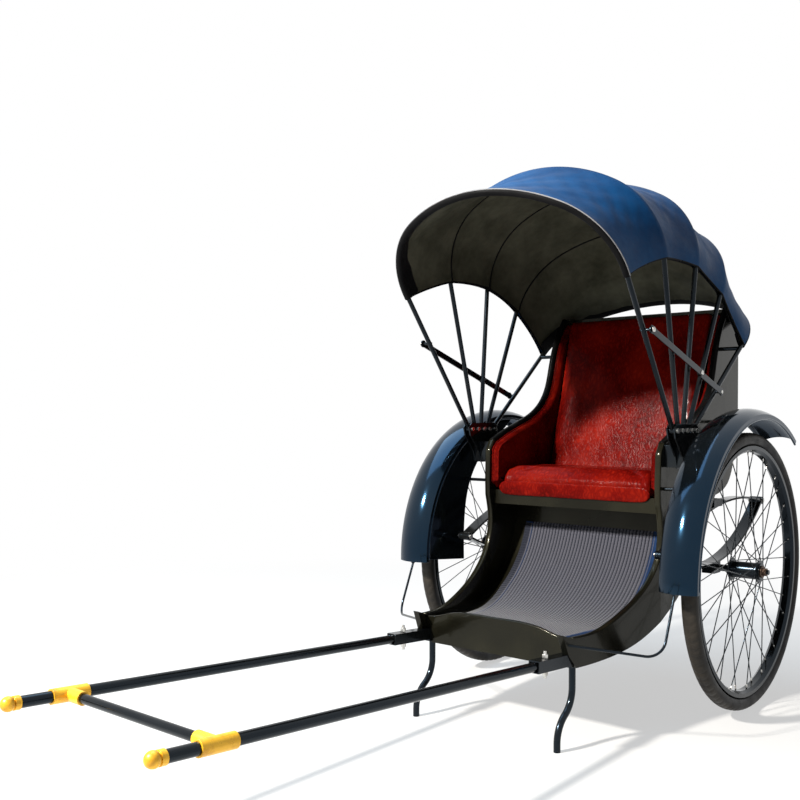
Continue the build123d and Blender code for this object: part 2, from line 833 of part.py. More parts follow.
# Fenders with their inner valances, ties and stays
fender_mid = (fender_inner_x + fender_outer_x) / 2
rear_turn = radians(90 - fender_rear_angle)
fender_section = Plane(
    origin=(0, axle_y, wheel_radius), x_dir=(1, 0, 0), z_dir=(0, -cos(rear_turn), sin(rear_turn))
)
reach = fender_edge_radius + 5
valance_line = [
    (y, share * reach)
    for y, share in ((-259, -0.036), (-259, 0.18), (-225, 0.537), (-150, 0.742), (-40, 0.899), (20, 1))
]
edge = fender_radius - fender_crown
for name, sign in sides:
    with BuildPart() as fender:
        with BuildSketch(fender_section):
            with BuildLine():
                inner_x, outer_x = sign * fender_inner_x, sign * fender_outer_x
                inner_lip, outer_lip = inner_x + sign * fender_thickness, outer_x - sign * fender_thickness
                Polyline(
                    (inner_x, edge), (inner_x, fender_edge_radius),
                    (inner_lip, fender_edge_radius), (inner_lip, edge - 1),
                )
                ThreePointArc(
                    (inner_lip, edge - 1), (sign * fender_mid, fender_radius - fender_thickness), (outer_lip, edge - 1)
                )
                Polyline(
                    (outer_lip, edge - 1), (outer_lip, fender_edge_radius),
                    (outer_x, fender_edge_radius), (outer_x, edge),
                )
                ThreePointArc((outer_x, edge), (sign * fender_mid, fender_radius), (inner_x, edge))
            make_face()
        revolve(axis=Axis((0, axle_y, wheel_radius), (1, 0, 0)), revolution_arc=181 - fender_rear_angle)
        with BuildSketch(side_plane(sign * fender_inner_x)):
            with BuildLine():
                Spline(*valance_line)
                ThreePointArc(valance_line[-1], (-reach * half_turn, reach * half_turn), (-reach, 0))
                Line((-reach, 0), valance_line[0])
            make_face()
        extrude(amount=sign * fender_thickness)
    fender.part.label = f"fender_{name}"
    export_step(fender.part, f"parts/fender_{name}.step")

tie_reach = edge - 6
tie_places = [(-245, 0.546 * reach), (tie_rear_y, (tie_reach ** 2 - tie_rear_y ** 2) ** 0.5)]
with BuildPart() as fender_ties:
    for sign in (1, -1):
        with BuildSketch(side_plane(sign * panel_x)):
            with Locations(*tie_places):
                Circle(tie_radius)
        extrude(amount=sign * (fender_inner_x - panel_x))
fender_ties.part.label = "fender_ties"
export_step(fender_ties.part, "parts/fender_ties.step")

rod_x = track / 2 - stay_rod_inset
for name, sign in sides:
    with BuildPart() as fender_stay:
        with BuildLine() as stay_line:
            FilletPolyline(
                (sign * rod_x, axle_y - fender_radius + 10, wheel_radius - 8),
                (sign * rod_x, axle_y - fender_radius - stay_rod_front, wheel_radius - stay_rod_drop),
                (sign * (panel_face(stay_foot[0] + 4, 4)), axle_y + stay_foot[0], wheel_radius + stay_foot[1]),
                radius=stay_rod_bend,
            )
        with BuildSketch(side_plane(sign * rod_x)):
            with Locations((-fender_radius + 8, 8)):
                Rectangle(8, 40)
        extrude(amount=4, both=True)
        with BuildSketch(side_plane(0)):
            Circle(fender_radius + 60)
            Circle(fender_radius - fender_thickness - 0.6, mode=Mode.SUBTRACT)
        extrude(amount=track, both=True, mode=Mode.SUBTRACT)
        with BuildSketch(Plane(origin=stay_line.line @ 0, z_dir=stay_line.line % 0)):
            Circle(stay_rod_radius)
        sweep(path=stay_line.line)
        with BuildSketch(Plane.XY):
            Polygon(*plan_strip(sign), align=None)
        extrude(amount=whole_height, mode=Mode.SUBTRACT)
    fender_stay.part.label = f"fender_stay_{name}"
    export_step(fender_stay.part, f"parts/fender_stay_{name}.step")

# Hood brackets: two shield-shaped cheeks on a block that stands off the side panel
pivots = [(pivot_first + index * pivot_pitch, pivot_z) for index in range(5)]
pivot_last = pivots[-1][0]
pivot_middle = (pivot_first + pivot_last) / 2
shield = [
    (pivot_first - 17, pivot_z + 5), (pivot_first - 3, pivot_z + 19), (pivot_last + 2, pivot_z + 19),
    (pivot_last + 17, pivot_z + 5), (pivot_last + 12, pivot_z - 21), (pivot_middle + 34.5, pivot_z - 72),
    (pivot_middle + 19.5, pivot_z - 107), (pivot_middle - 15.5, pivot_z - 107), (pivot_middle - 27.5, pivot_z - 72),
    (pivot_first - 9, pivot_z - 21),
]
inner_cheek = pivot_x - cheek_gap - cheek_thickness
outer_cheek = pivot_x + cheek_gap + cheek_thickness
for name, sign in sides:
    with BuildPart() as bracket:
        with BuildSketch(side_plane(sign * (pivot_x + cheek_gap)), side_plane(sign * inner_cheek)):
            with BuildLine():
                Polyline(*shield, close=True)
            make_face()
        extrude(amount=sign * cheek_thickness)
        with BuildSketch(side_plane(sign * panel_x)):
            with Locations((pivot_middle + 2.5, pivot_z - 72)):
                Rectangle(40, 62)
        extrude(amount=sign * (pivot_x + cheek_gap - panel_x))
        with BuildSketch(side_plane(sign * panel_x)):
            with Locations(*pivots):
                Circle(pin_radius)
        extrude(amount=sign * (outer_cheek - panel_x + 20), mode=Mode.SUBTRACT)
    bracket.part.label = f"hood_bracket_{name}"
    export_step(bracket.part, f"parts/hood_bracket_{name}.step")

with BuildPart() as hood_bolts:
    for sign in (1, -1):
        with BuildSketch(side_plane(sign * inner_cheek)):
            with Locations(*pivots):
                Circle(pin_radius)
        extrude(amount=sign * (outer_cheek - inner_cheek))
        with BuildSketch(side_plane(sign * outer_cheek), side_plane(sign * (inner_cheek - pin_head))):
            with Locations(*pivots):
                Circle(pin_head_radius)
        extrude(amount=sign * pin_head)
hood_bolts.part.label = "hood_bolts"
export_step(hood_bolts.part, "parts/hood_bolts.step")

# Hood bows: bent tubes with an eye at each foot; the first and last carry the stay studs
stay_outer_x = stay_x + stay_thickness + stay_clearance
stud_front = stay_outer_x + stay_thickness + 3
stud_rear = stay_x + stay_thickness + 0.5
studs = {0: (stay_front_at, stud_front), 4: (stay_rear_at, stud_rear)}
for index in range(5):
    with BuildPart() as bow:
        plane = bow_plane(index)
        with BuildLine(plane) as bow_line:
            draw_arch(index, 0, 0)
        with BuildSketch(Plane(origin=bow_line.line @ 0, z_dir=bow_line.line % 0)):
            Circle(bow_radius)
        sweep()
        for sign in (1, -1):
            with BuildSketch(side_plane(sign * pivot_x)):
                with Locations(pivots[index]):
                    Circle(bow_eye_radius)
            extrude(amount=bow_radius + 0.5, both=True)
        if index in studs:
            along, stud_end = studs[index]
            for sign in (1, -1):
                spot = plane.from_local_coords(Vector(sign * pivot_x, along, 0))
                with BuildSketch(Plane(origin=spot, z_dir=(sign, 0, 0))):
                    Circle(pin_radius)
                extrude(amount=stud_end - pivot_x)
        for sign in (1, -1):
            with BuildSketch(side_plane(sign * pivot_x)):
                with Locations(pivots[index]):
                    Circle(pin_radius + hub_clearance)
            extrude(amount=20, both=True, mode=Mode.SUBTRACT)
    bow.part.label = f"hood_bow_{index + 1}"
    export_step(bow.part, f"parts/hood_bow_{index + 1}.step")

# Canopy panels, each stretched from one bow to the next
for index in range(4):
    with BuildPart() as canopy:
        for bow_index, turn in ((index, 0.25), (index + 1, -0.25)):
            with BuildSketch(bow_plane(bow_index, turn)):
                with BuildLine():
                    low = bow_radius + canopy_gap
                    hem = bow_leg(bow_index) - canopy_drops[bow_index]
                    inner_foot = draw_arch(bow_index, low, hem)
                    outer_foot = draw_arch(bow_index, low + canopy_thickness, hem)
                    Line(inner_foot, outer_foot)
                    Line(flip(inner_foot), flip(outer_foot))
                make_face()
        loft(ruled=True)
    canopy.part.label = f"canopy_{index + 1}"
    export_step(canopy.part, f"parts/canopy_{index + 1}.step")

# Side stays in two links: the front link on the first bow, the rear link on the last
last_plane = bow_plane(4)
front_pin = bow_plane(0).from_local_coords(Vector(0, stay_front_at, 0))
rear_pin = last_plane.from_local_coords(Vector(0, stay_rear_at, 0))
knee = front_pin + (rear_pin - front_pin) * stay_share
stay_links = (("stay_front", front_pin, stay_outer_x), ("stay_rear", rear_pin, stay_x))
for label, pin, place in stay_links:
    with BuildPart() as stay_link:
        for sign in (1, -1):
            with BuildSketch(side_plane(sign * place)):
                with BuildLine() as link_line:
                    Line(on_side(pin), on_side(knee))
                trace(link_line.line, line_width=stay_width)
                with Locations(on_side(pin), on_side(knee)):
                    Circle(stay_eye_radius)
                with Locations(on_side(pin)):
                    Circle(pin_radius + hub_clearance, mode=Mode.SUBTRACT)
            extrude(amount=sign * stay_thickness)
    stay_link.part.label = label
    export_step(stay_link.part, f"parts/{label}.step")

# Props that hold the last bow off the back of the body
with BuildPart() as hood_props:
    prop = last_plane.from_local_coords(Vector(0, prop_at, 0))
    for sign in (1, -1):
        with BuildSketch(side_plane(sign * panel_x)):
            with Locations(on_side(prop)):
                Circle(prop_radius)
        extrude(amount=sign * (bow_half_width - panel_x))
    with BuildLine(last_plane) as last_line:
        draw_arch(4, 0, prop_at / 2)
    with BuildSketch(Plane(origin=last_line.line @ 0, z_dir=last_line.line % 0)):
        Circle(bow_radius)
    sweep(mode=Mode.SUBTRACT)
hood_props.part.label = "hood_props"
export_step(hood_props.part, "parts/hood_props.step")
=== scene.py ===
"""A pulled rickshaw with a folding hood, dressed for the photograph's view.

All lengths are metres in the row frame: the ground is Z = 0, the shafts point along minus Y and
the passenger's left is plus X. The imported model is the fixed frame; every new piece is a surface
worked out with numpy that sits on it.
"""
from __future__ import annotations

import json
import logging
import math
from dataclasses import dataclass
from enum import Enum

import bmesh
import bpy
import numpy as np
from mathutils import Matrix, Vector

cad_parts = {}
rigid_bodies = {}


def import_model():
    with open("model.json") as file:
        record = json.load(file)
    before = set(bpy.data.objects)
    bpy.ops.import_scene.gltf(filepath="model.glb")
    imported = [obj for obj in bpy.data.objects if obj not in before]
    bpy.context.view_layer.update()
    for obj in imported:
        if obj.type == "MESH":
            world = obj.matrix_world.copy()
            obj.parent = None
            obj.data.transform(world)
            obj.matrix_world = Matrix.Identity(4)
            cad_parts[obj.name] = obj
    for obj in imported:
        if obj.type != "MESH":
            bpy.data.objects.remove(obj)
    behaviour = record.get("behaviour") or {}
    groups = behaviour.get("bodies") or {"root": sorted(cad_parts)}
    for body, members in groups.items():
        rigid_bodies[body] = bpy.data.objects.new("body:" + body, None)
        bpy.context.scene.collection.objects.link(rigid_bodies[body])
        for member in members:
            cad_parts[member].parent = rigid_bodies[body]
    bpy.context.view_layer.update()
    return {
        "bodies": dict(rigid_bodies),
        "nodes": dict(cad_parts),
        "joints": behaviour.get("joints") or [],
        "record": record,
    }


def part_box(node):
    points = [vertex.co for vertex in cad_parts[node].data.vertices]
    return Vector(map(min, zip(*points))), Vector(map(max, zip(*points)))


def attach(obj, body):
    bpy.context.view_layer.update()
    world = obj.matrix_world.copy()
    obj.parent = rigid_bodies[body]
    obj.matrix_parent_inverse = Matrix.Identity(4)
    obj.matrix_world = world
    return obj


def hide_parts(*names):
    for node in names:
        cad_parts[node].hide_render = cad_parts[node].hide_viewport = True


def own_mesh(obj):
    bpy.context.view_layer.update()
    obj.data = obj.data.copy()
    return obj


LOG = logging.getLogger("rickshaw")
CLOTH_FRAMES = 20
Array = np.ndarray
Colour = tuple[float, float, float]
Place = tuple[float, float, float]
Line = tuple[tuple[float, float], ...]
Socket = bpy.types.NodeSocket
Material = bpy.types.Material
Piece = bpy.types.Object


class Side(Enum):
    """The two sides of the carriage; the value is the sign of X."""

    LEFT = 1
    RIGHT = -1

    @property
    def word(self) -> str:
        """The side's word in node names."""
        return self.name.lower()


class Slot(Enum):
    """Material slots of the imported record."""

    TYRE = "tyre"
    WHEEL_PAINT = "wheel_paint"
    GILT = "gilt"
    BRIGHT_STEEL = "bright_steel"
    CANOPY_CLOTH = "canopy_cloth"
    CARPET = "carpet"
    RED_LEATHER = "red_leather"
    LACQUERED_WOOD = "lacquered_wood"
    BLACK_PAINT = "black_paint"


# Shaders


class Shader:
    """A material's node tree with one principled surface, and short ways to add textures to it."""

    def __init__(self, name: str) -> None:
        """Starts an empty tree with an output and a principled surface.

        Args:
            name: the material's name.
        """
        self.material = bpy.data.materials.new(name)
        self.material.use_nodes = True
        self.nodes = self.material.node_tree.nodes
        self.links = self.material.node_tree.links
        self.nodes.clear()
        self.surface = self.nodes.new("ShaderNodeBsdfPrincipled")
        out = self.nodes.new("ShaderNodeOutputMaterial")
        self.links.new(self.surface.outputs["BSDF"], out.inputs["Surface"])
        self.place = self.nodes.new("ShaderNodeTexCoord")

    def set(self, **values: object) -> None:
        """Sets constant values on the surface's own sockets.

        Args:
            values: the constants, under their sockets' names with _ for a space.
        """
        for key, value in values.items():
            socket = self.surface.inputs[key.replace("_", " ")]
            opaque = isinstance(value, tuple) and socket.type == "RGBA"
            socket.default_value = (*value, 1.0) if opaque else value

    def add(self, kind: str, attributes: dict | None = None, **values: object) -> bpy.types.Node:
        """Adds a node.

        Args:
            kind: the node's type.
            attributes: properties of the node itself.
            values: constants or sockets for its inputs, named with _ for a space.

        Returns:
            The node.
        """
        node = self.nodes.new(kind)
        for key, value in (attributes or {}).items():
            setattr(node, key, value)
        for key, value in values.items():
            socket = node.inputs[key.replace("_", " ")]
            if isinstance(value, Socket):
                self.links.new(value, socket)
            else:
                socket.default_value = value
        return node

    def object_place(self, stretch: Place = (1, 1, 1)) -> Socket:
        """Object coordinates, stretched along each axis."""
        mapping = self.add("ShaderNodeMapping", Vector=self.place.outputs["Object"], Scale=stretch)
        return mapping.outputs["Vector"]

    def noise(self, scale: float, detail: float = 3, place: Socket | None = None) -> Socket:
        """Noise over Object coordinates or another place."""
        place = place or self.place.outputs["Object"]
        return self.add("ShaderNodeTexNoise", Vector=place, Scale=scale, Detail=detail).outputs["Fac"]

    def cells(self, scale: float, place: Socket | None = None) -> Socket:
        """Distance to the edges of a cell pattern.

        Args:
            scale: cells to the metre, about.
            place: coordinates, or None for Object coordinates.

        Returns:
            The distance, 0 on an edge.
        """
        place = place or self.place.outputs["Object"]
        look = {"feature": "DISTANCE_TO_EDGE"}
        return self.add("ShaderNodeTexVoronoi", look, Vector=place, Scale=scale).outputs["Distance"]

    def ramp(self, factor: Socket, stops: list[tuple[float, Colour]]) -> Socket:
        """Colour ramp through the given stops.

        Args:
            factor: the value that picks the colour.
            stops: places on the ramp from 0 to 1, each with its colour.

        Returns:
            The colour.
        """
        node = self.add("ShaderNodeValToRGB", Fac=factor)
        elements = node.color_ramp.elements
        while len(elements) < len(stops):
            elements.new(0.5)
        for element, (at, colour) in zip(elements, stops):
            element.position = at
            element.color = (*colour, 1.0)
        return node.outputs["Color"]

    def span(self, factor: Socket, low: float, high: float) -> Socket:
        """Noise drawn out to a range of values."""
        reach = {"From_Min": 0.3, "From_Max": 0.7, "To_Min": low, "To_Max": high}
        return self.add("ShaderNodeMapRange", Value=factor, **reach).outputs[0]

    def wave(self, direction: str, scale: float, distortion: float = 0.0) -> Socket:
        """Even bands across the UV map.

        Args:
            direction: X or Y of the map, along which the bands follow each other.
            scale: how close the bands are.
            distortion: how far noise bends them.

        Returns:
            The bands' height from 0 to 1.
        """
        look = {"bands_direction": direction}
        flat = self.place.outputs["UV"]
        node = self.add("ShaderNodeTexWave", look, Vector=flat, Scale=scale, Distortion=distortion)
        return node.outputs["Fac"]

    def sum(self, first: Socket, second: Socket, share: float) -> Socket:
        """First value plus a share of the second.

        Args:
            first: the value taken whole.
            second: the value taken in part.
            share: how much of it.

        Returns:
            The sum.
        """
        node = self.nodes.new("ShaderNodeMath")
        node.operation = "MULTIPLY_ADD"
        self.links.new(second, node.inputs[0])
        node.inputs[1].default_value = share
        self.links.new(first, node.inputs[2])
        return node.outputs[0]

    def bump(self, height: Socket, strength: float, depth: float, edge: float = 0.0) -> None:
        """Bumps the surface, over rounded edges where asked.

        Args:
            height: the height texture.
            strength: the bump's strength.
            depth: the height's depth in metres.
            edge: radius that softens sharp edges, in metres.
        """
        node = self.add("ShaderNodeBump", Height=height, Strength=strength, Distance=depth)
        if edge > 0:
            soft = self.add("ShaderNodeBevel", {"samples": 6}, Radius=edge)
            self.links.new(soft.outputs["Normal"], node.inputs["Normal"])
        self.links.new(node.outputs["Normal"], self.surface.inputs["Normal"])

    def colour(self, socket: Socket) -> None:
        """Colours the surface from a texture."""
        self.links.new(socket, self.surface.inputs["Base Color"])

    def roughness(self, socket: Socket) -> None:
        """Roughens the surface from a texture."""
        self.links.new(socket, self.surface.inputs["Roughness"])


@dataclass(frozen=True)
class Lacquer:
    """Black brushed-on lacquer or enamel: deep gloss, faint ripple, dusty patches; its reflections are
    coloured, by default blue as a painted sky reflection.
    """

    name: str
    deep: Colour = (0.0016, 0.0020, 0.0026)
    dusty: Colour = (0.0065, 0.0066, 0.0062)
    gloss: tuple[float, float] = (0.10, 0.24)
    # painted reflection: colour given to every reflection, blue by default as a painted sky reflection
    tint: Colour = (0.50, 0.74, 1.0)
    edge: float = 0.0016
    shine: float = 0.22

    def material(self) -> Material:
        """Builds the material."""
        shader = Shader(self.name)
        shader.set(Specular_Tint=self.tint, Specular_IOR_Level=self.shine)
        shader.set(Coat_Weight=0.10, Coat_Roughness=0.05)
        patches = shader.noise(5.0, 5)
        shader.colour(shader.ramp(patches, [(0.38, self.deep), (0.72, self.dusty)]))
        shader.roughness(shader.span(shader.noise(9.0, 6), *self.gloss))
        ripple = shader.sum(shader.noise(14.0, 2), shader.noise(420.0, 2), 0.12)
        shader.bump(ripple, 0.25, 0.0016, self.edge)
        return shader.material


@dataclass(frozen=True)
class Cloth:
    """Proofed canvas: a fine plain weave with soft creases and slightly uneven dye."""

    name: str
    dark: Colour
    light: Colour
    rough: tuple[float, float] = (0.42, 0.58)
    sheen: float = 0.25
    blotch: float = 4.0
    shine: float = 0.10
    # painted reflection colour; white leaves reflections plain
    tint: Colour = (1.0, 1.0, 1.0)
    weave: float = 190.0

    def material(self) -> Material:
        """Builds the material; the weave follows the cloth's own UV map, in metres."""
        shader = Shader(self.name)
        shader.set(Sheen_Weight=self.sheen, Sheen_Roughness=0.4, Sheen_Tint=self.light)
        shader.set(Specular_IOR_Level=self.shine, Specular_Tint=self.tint)
        dye = shader.sum(shader.noise(self.blotch, 6), shader.noise(60.0, 3), 0.25)
        shader.colour(shader.ramp(dye, [(0.42, self.dark), (0.82, self.light)]))
        shader.roughness(shader.span(shader.noise(11.0, 4), *self.rough))
        weave = shader.sum(shader.wave("X", self.weave), shader.wave("Y", self.weave), 1.0)
        creases = shader.noise(9.0, 4, shader.object_place((1.0, 1.0, 1.6)))
        shader.bump(shader.sum(creases, weave, 0.01), 0.5, 0.006)
        return shader.material


@dataclass(frozen=True)
class Leather:
    """Glazed upholstery leather with a crinkled grain, darker in its creases as painted shade."""

    name: str
    # painted shade: this colour darkens the grain's grooves, where the bump sinks
    crease: Colour = (0.020, 0.0007, 0.0006)
    body: Colour = (0.086, 0.0021, 0.0013)
    worn: Colour = (0.190, 0.0085, 0.0030)

    def material(self) -> Material:
        """Builds the material."""
        shader = Shader(self.name)
        shader.set(Coat_Weight=0.02, Coat_Roughness=0.06, Specular_IOR_Level=0.016)
        plain = shader.place.outputs["Object"]
        drift = shader.add("ShaderNodeTexNoise", Vector=plain, Scale=26.0, Detail=4.0)
        bent = shader.add("ShaderNodeMix", {"data_type": "VECTOR"}, Factor=0.045)
        shader.links.new(plain, bent.inputs[4])
        shader.links.new(drift.outputs["Color"], bent.inputs[5])
        slant = {"Rotation": (0.0, 0.65, 0.0), "Scale": (1.9, 1.0, 0.75)}
        slanted = shader.add("ShaderNodeMapping", Vector=bent.outputs[1], **slant)
        crinkle = shader.cells(58.0, slanted.outputs["Vector"])
        fine = shader.cells(310.0, bent.outputs[1])
        # painted shade in the grooves at the cells' edges, with lighter worn patches from the noise
        wear_and_groove_shade = shader.sum(shader.noise(7.0, 6), crinkle, 0.55)
        shader.colour(shader.ramp(wear_and_groove_shade, [(0.30, self.crease), (0.55, self.body), (0.95, self.worn)]))
        shader.roughness(shader.span(shader.noise(18.0, 5), 0.15, 0.26))
        shader.bump(shader.sum(crinkle, fine, 0.35), 0.30, 0.0026)
        return shader.material


@dataclass(frozen=True)
class Carpet:
    """Ribbed floor matting: pale worn ribs over a navy ground, read from the rib's own height."""

    name: str
    ground: Colour = (0.0025, 0.0040, 0.011)
    rib: Colour = (0.026, 0.028, 0.042)
    worn: Colour = (0.052, 0.053, 0.068)

    def material(self) -> Material:
        """Builds the material; the attribute rib is 1 on a rib's crown and 0 in its valley."""
        shader = Shader(self.name)
        shader.set(Sheen_Weight=0.3, Sheen_Roughness=0.5, Roughness=0.9, Specular_IOR_Level=0.2)
        height = shader.add("ShaderNodeAttribute", {"attribute_name": "rib"}).outputs["Fac"]
        knots = shader.wave("X", 36.0, 2.5)
        tuft = shader.sum(height, knots, 0.30)
        speckle = shader.sum(tuft, shader.noise(240.0, 3), 0.40)
        shader.colour(shader.ramp(speckle, [(0.42, self.ground), (0.95, self.rib), (1.0, self.worn)]))
        shader.bump(shader.sum(knots, shader.noise(700.0, 2), 0.8), 0.6, 0.0014)
        return shader.material


@dataclass(frozen=True)
class Rubber:
    """Black tyre rubber, brown on the tread: dusty from the road, and a painted reflection of the brown
    ground.
    """

    name: str
    clean: Colour = (0.0045, 0.0045, 0.0050)
    # dusty brown, which is also a painted reflection of the brown ground
    dust: Colour = (0.021, 0.017, 0.0125)

    def material(self) -> Material:
        """Builds the material; the tread attribute is 1 on the tread and 0 at the rim, and brings in the
        dusty brown with its painted ground reflection.
        """
        shader = Shader(self.name)
        shader.set(Specular_IOR_Level=0.22)
        wear = shader.add("ShaderNodeAttribute", {"attribute_name": "wear"}).outputs["Fac"]
        dust_and_reflection_amount = shader.sum(shader.noise(16.0, 6), wear, 0.35)
        shader.colour(shader.ramp(dust_and_reflection_amount, [(0.45, self.clean), (1.0, self.dust)]))
        shader.roughness(shader.span(shader.noise(30.0, 4), 0.42, 0.62))
        shader.bump(shader.noise(520.0, 3), 0.2, 0.0008)
        return shader.material


@dataclass(frozen=True)
class Metal:
    """Bare or gilded metal with a hammered ripple and darker tarnish."""

    name: str
    bright: Colour
    tarnish: Colour
    metallic: float = 1.0
    rough: tuple[float, float] = (0.18, 0.36)

    def material(self) -> Material:
        """Builds the material."""
        shader = Shader(self.name)
        shader.set(Metallic=self.metallic)
        stain = shader.noise(38.0, 6)
        shader.colour(shader.ramp(stain, [(0.30, self.tarnish), (0.52, self.bright)]))
        shader.roughness(shader.span(shader.noise(60.0, 4), *self.rough))
        shader.bump(shader.sum(shader.noise(45.0, 3), shader.noise(800.0, 2), 0.1), 0.2, 0.0012, 0.0012)
        return shader.material


class Finishes:
    """All finishes of the carriage, each made once."""

    def __init__(self) -> None:
        """Builds the materials."""
        # enamel and bow paint keep the default blue painted sky reflection
        self.enamel = Lacquer("black_enamel").material()
        # painted sky reflection: the blue cast of both colours and the blue reflection colour stand in for
        # sky mirrored in the fenders
        self.fender_enamel = Lacquer(
            "fender_enamel", deep=(0.0010, 0.0018, 0.0030), dusty=(0.0034, 0.0044, 0.0054),
            gloss=(0.06, 0.14), tint=(0.16, 0.52, 1.0), shine=0.45,
        ).material()
        # painted ground reflection: the olive cast of both colours and the olive reflection colour stand in
        # for sunlit ground mirrored in the panels; the patches are dust
        self.lacquer = Lacquer(
            "panel_lacquer", deep=(0.0034, 0.0032, 0.0020), dusty=(0.0115, 0.0108, 0.0062),
            gloss=(0.12, 0.26), tint=(0.95, 0.92, 0.70), shine=0.15,
        ).material()
        self.bow_paint = Lacquer("bow_enamel", gloss=(0.16, 0.30), edge=0.0006, shine=0.16).material()
        # painted sky reflection: the canvas's reflections are coloured blue instead of plain white
        self.canvas = Cloth(
            "hood_canvas", (0.0006, 0.023, 0.080), (0.0014, 0.050, 0.150), rough=(0.40, 0.55), sheen=0.0,
            shine=0.05, tint=(0.20, 0.55, 1.0),
        ).material()
        self.lining = Cloth(
            "hood_lining", (0.027, 0.027, 0.018), (0.066, 0.064, 0.046), rough=(0.6, 0.8), sheen=0.0,
            blotch=9.0, shine=0.05,
        ).material()
        self.binding = Cloth(
            "hood_binding", (0.0015, 0.0015, 0.0018), (0.0045, 0.0045, 0.0050), rough=(0.5, 0.7), sheen=0.0,
            blotch=9.0, shine=0.05,
        ).material()
        # painted highlight: the front piping's pale colour stands in for the bright line along the hood's
        # front edge
        self.piping = Cloth(
            "pale_piping", (0.10, 0.105, 0.115), (0.24, 0.24, 0.25), rough=(0.35, 0.5), sheen=0.05
        ).material()
        self.leather = Leather("red_leather").material()
        self.trim_leather = Leather(
            "black_leather", (0.0015, 0.0015, 0.0015), (0.0035, 0.0035, 0.0035), (0.009, 0.009, 0.0085)
        ).material()
        self.carpet = Carpet("ribbed_carpet").material()
        self.carpet_edge = Cloth(
            "carpet_binding", (0.004, 0.012, 0.036), (0.010, 0.028, 0.080), rough=(0.7, 0.9), sheen=0.1,
            blotch=9.0, shine=0.05,
        ).material()
        self.rubber = Rubber("tyre_rubber").material()
        self.gilt = Metal(
            "gilt_paint", (0.80, 0.43, 0.018), (0.52, 0.24, 0.010), metallic=0.25, rough=(0.26, 0.42)
        ).material()
        self.steel = Metal("bright_steel", (0.62, 0.61, 0.58), (0.22, 0.20, 0.18)).material()
        self.worn_steel = Metal(
            "worn_steel", (0.17, 0.115, 0.085), (0.055, 0.030, 0.020), metallic=0.8, rough=(0.38, 0.6)
        ).material()

    def for_slot(self, slot: str) -> Material:
        """The finish that a CAD node of a record slot takes."""
        return {
            Slot.TYRE: self.rubber,
            Slot.WHEEL_PAINT: self.enamel,
            Slot.GILT: self.gilt,
            Slot.BRIGHT_STEEL: self.steel,
            Slot.CANOPY_CLOTH: self.canvas,
            Slot.CARPET: self.carpet,
            Slot.RED_LEATHER: self.leather,
            Slot.LACQUERED_WOOD: self.lacquer,
            Slot.BLACK_PAINT: self.enamel,
        }[Slot(slot)]


# Surfaces


def unit(vectors: Array) -> Array:
    """Vectors divided by their lengths."""
    return vectors / np.maximum(np.linalg.norm(vectors, axis=-1, keepdims=True), 1e-12)


def smooth(value: Array, low: float, high: float) -> Array:
    """Smooth step: 0 below low, 1 above high, and 3s squared minus 2s cubed between them."""
    share = np.clip((value - low) / (high - low), 0, 1)
    return share * share * (3 - 2 * share)


def spline(points: Line | Array, count: int) -> Array:
    """Curve through points.

    A natural cubic spline by chord length: the second derivatives solve the usual three-term
    system, and each span is the cubic that they give.

    Args:
        points: the points that the curve passes.
        count: how many points to return, evenly spaced along the chords.

    Returns:
        The curve's points.
    """
    knots = np.asarray(points, float)
    steps = np.linalg.norm(np.diff(knots, axis=0), axis=1)
    at = np.concatenate([[0.0], np.cumsum(steps)])
    size = len(knots)
    system = np.eye(size)
    right = np.zeros_like(knots)
    inner = np.arange(1, size - 1)
    system[inner, inner - 1] = steps[:-1]
    system[inner, inner] = 2 * (steps[:-1] + steps[1:])
    system[inner, inner + 1] = steps[1:]
    slope = np.diff(knots, axis=0) / steps[:, None]
    right[1:-1] = 6 * np.diff(slope, axis=0)
    bend = np.linalg.solve(system, right)
    where = np.linspace(0, at[-1], count)
    span = np.clip(np.searchsorted(at, where) - 1, 0, size - 2)
    step = steps[span][:, None]
    near = (at[span + 1] - where)[:, None]
    far = (where - at[span])[:, None]
    cubic = (bend[span] * near**3 + bend[span + 1] * far**3) / (6 * step)
    line = (knots[span] / step - bend[span] * step / 6) * near
    return cubic + line + (knots[span + 1] / step - bend[span + 1] * step / 6) * far


def even(points: Array, count: int) -> Array:
    """Points spread evenly along a line of straight runs, by its length from the start.

    Args:
        points: the line's corners.
        count: how many points to return.

    Returns:
        The points.
    """
    steps = np.linalg.norm(np.diff(points, axis=0), axis=1)
    at = np.concatenate([[0.0], np.cumsum(steps)])
    where = np.linspace(0, at[-1], count)
    return np.stack([np.interp(where, at, points[:, k]) for k in range(points.shape[1])], axis=1)


def circle(radius: float, sides: int) -> Array:
    """Closed round profile."""
    angle = np.linspace(0, 2 * np.pi, sides, endpoint=False)
    return radius * np.stack([np.cos(angle), np.sin(angle)], axis=1)


def oval(half_width: float, half_height: float, sides: int, square: float = 1.0) -> Array:
    """Closed oval profile: cosine and sine raised to a power, which squares it below 1.

    Args:
        half_width: its reach along the first axis.
        half_height: its reach along the second axis.
        sides: how many points go round it.
        square: the power.

    Returns:
        The profile's points.
    """
    angle = np.linspace(0, 2 * np.pi, sides, endpoint=False)
    wave = np.stack([np.cos(angle), np.sin(angle)], axis=1)
    return np.sign(wave) * np.abs(wave) ** square * (half_width, half_height)


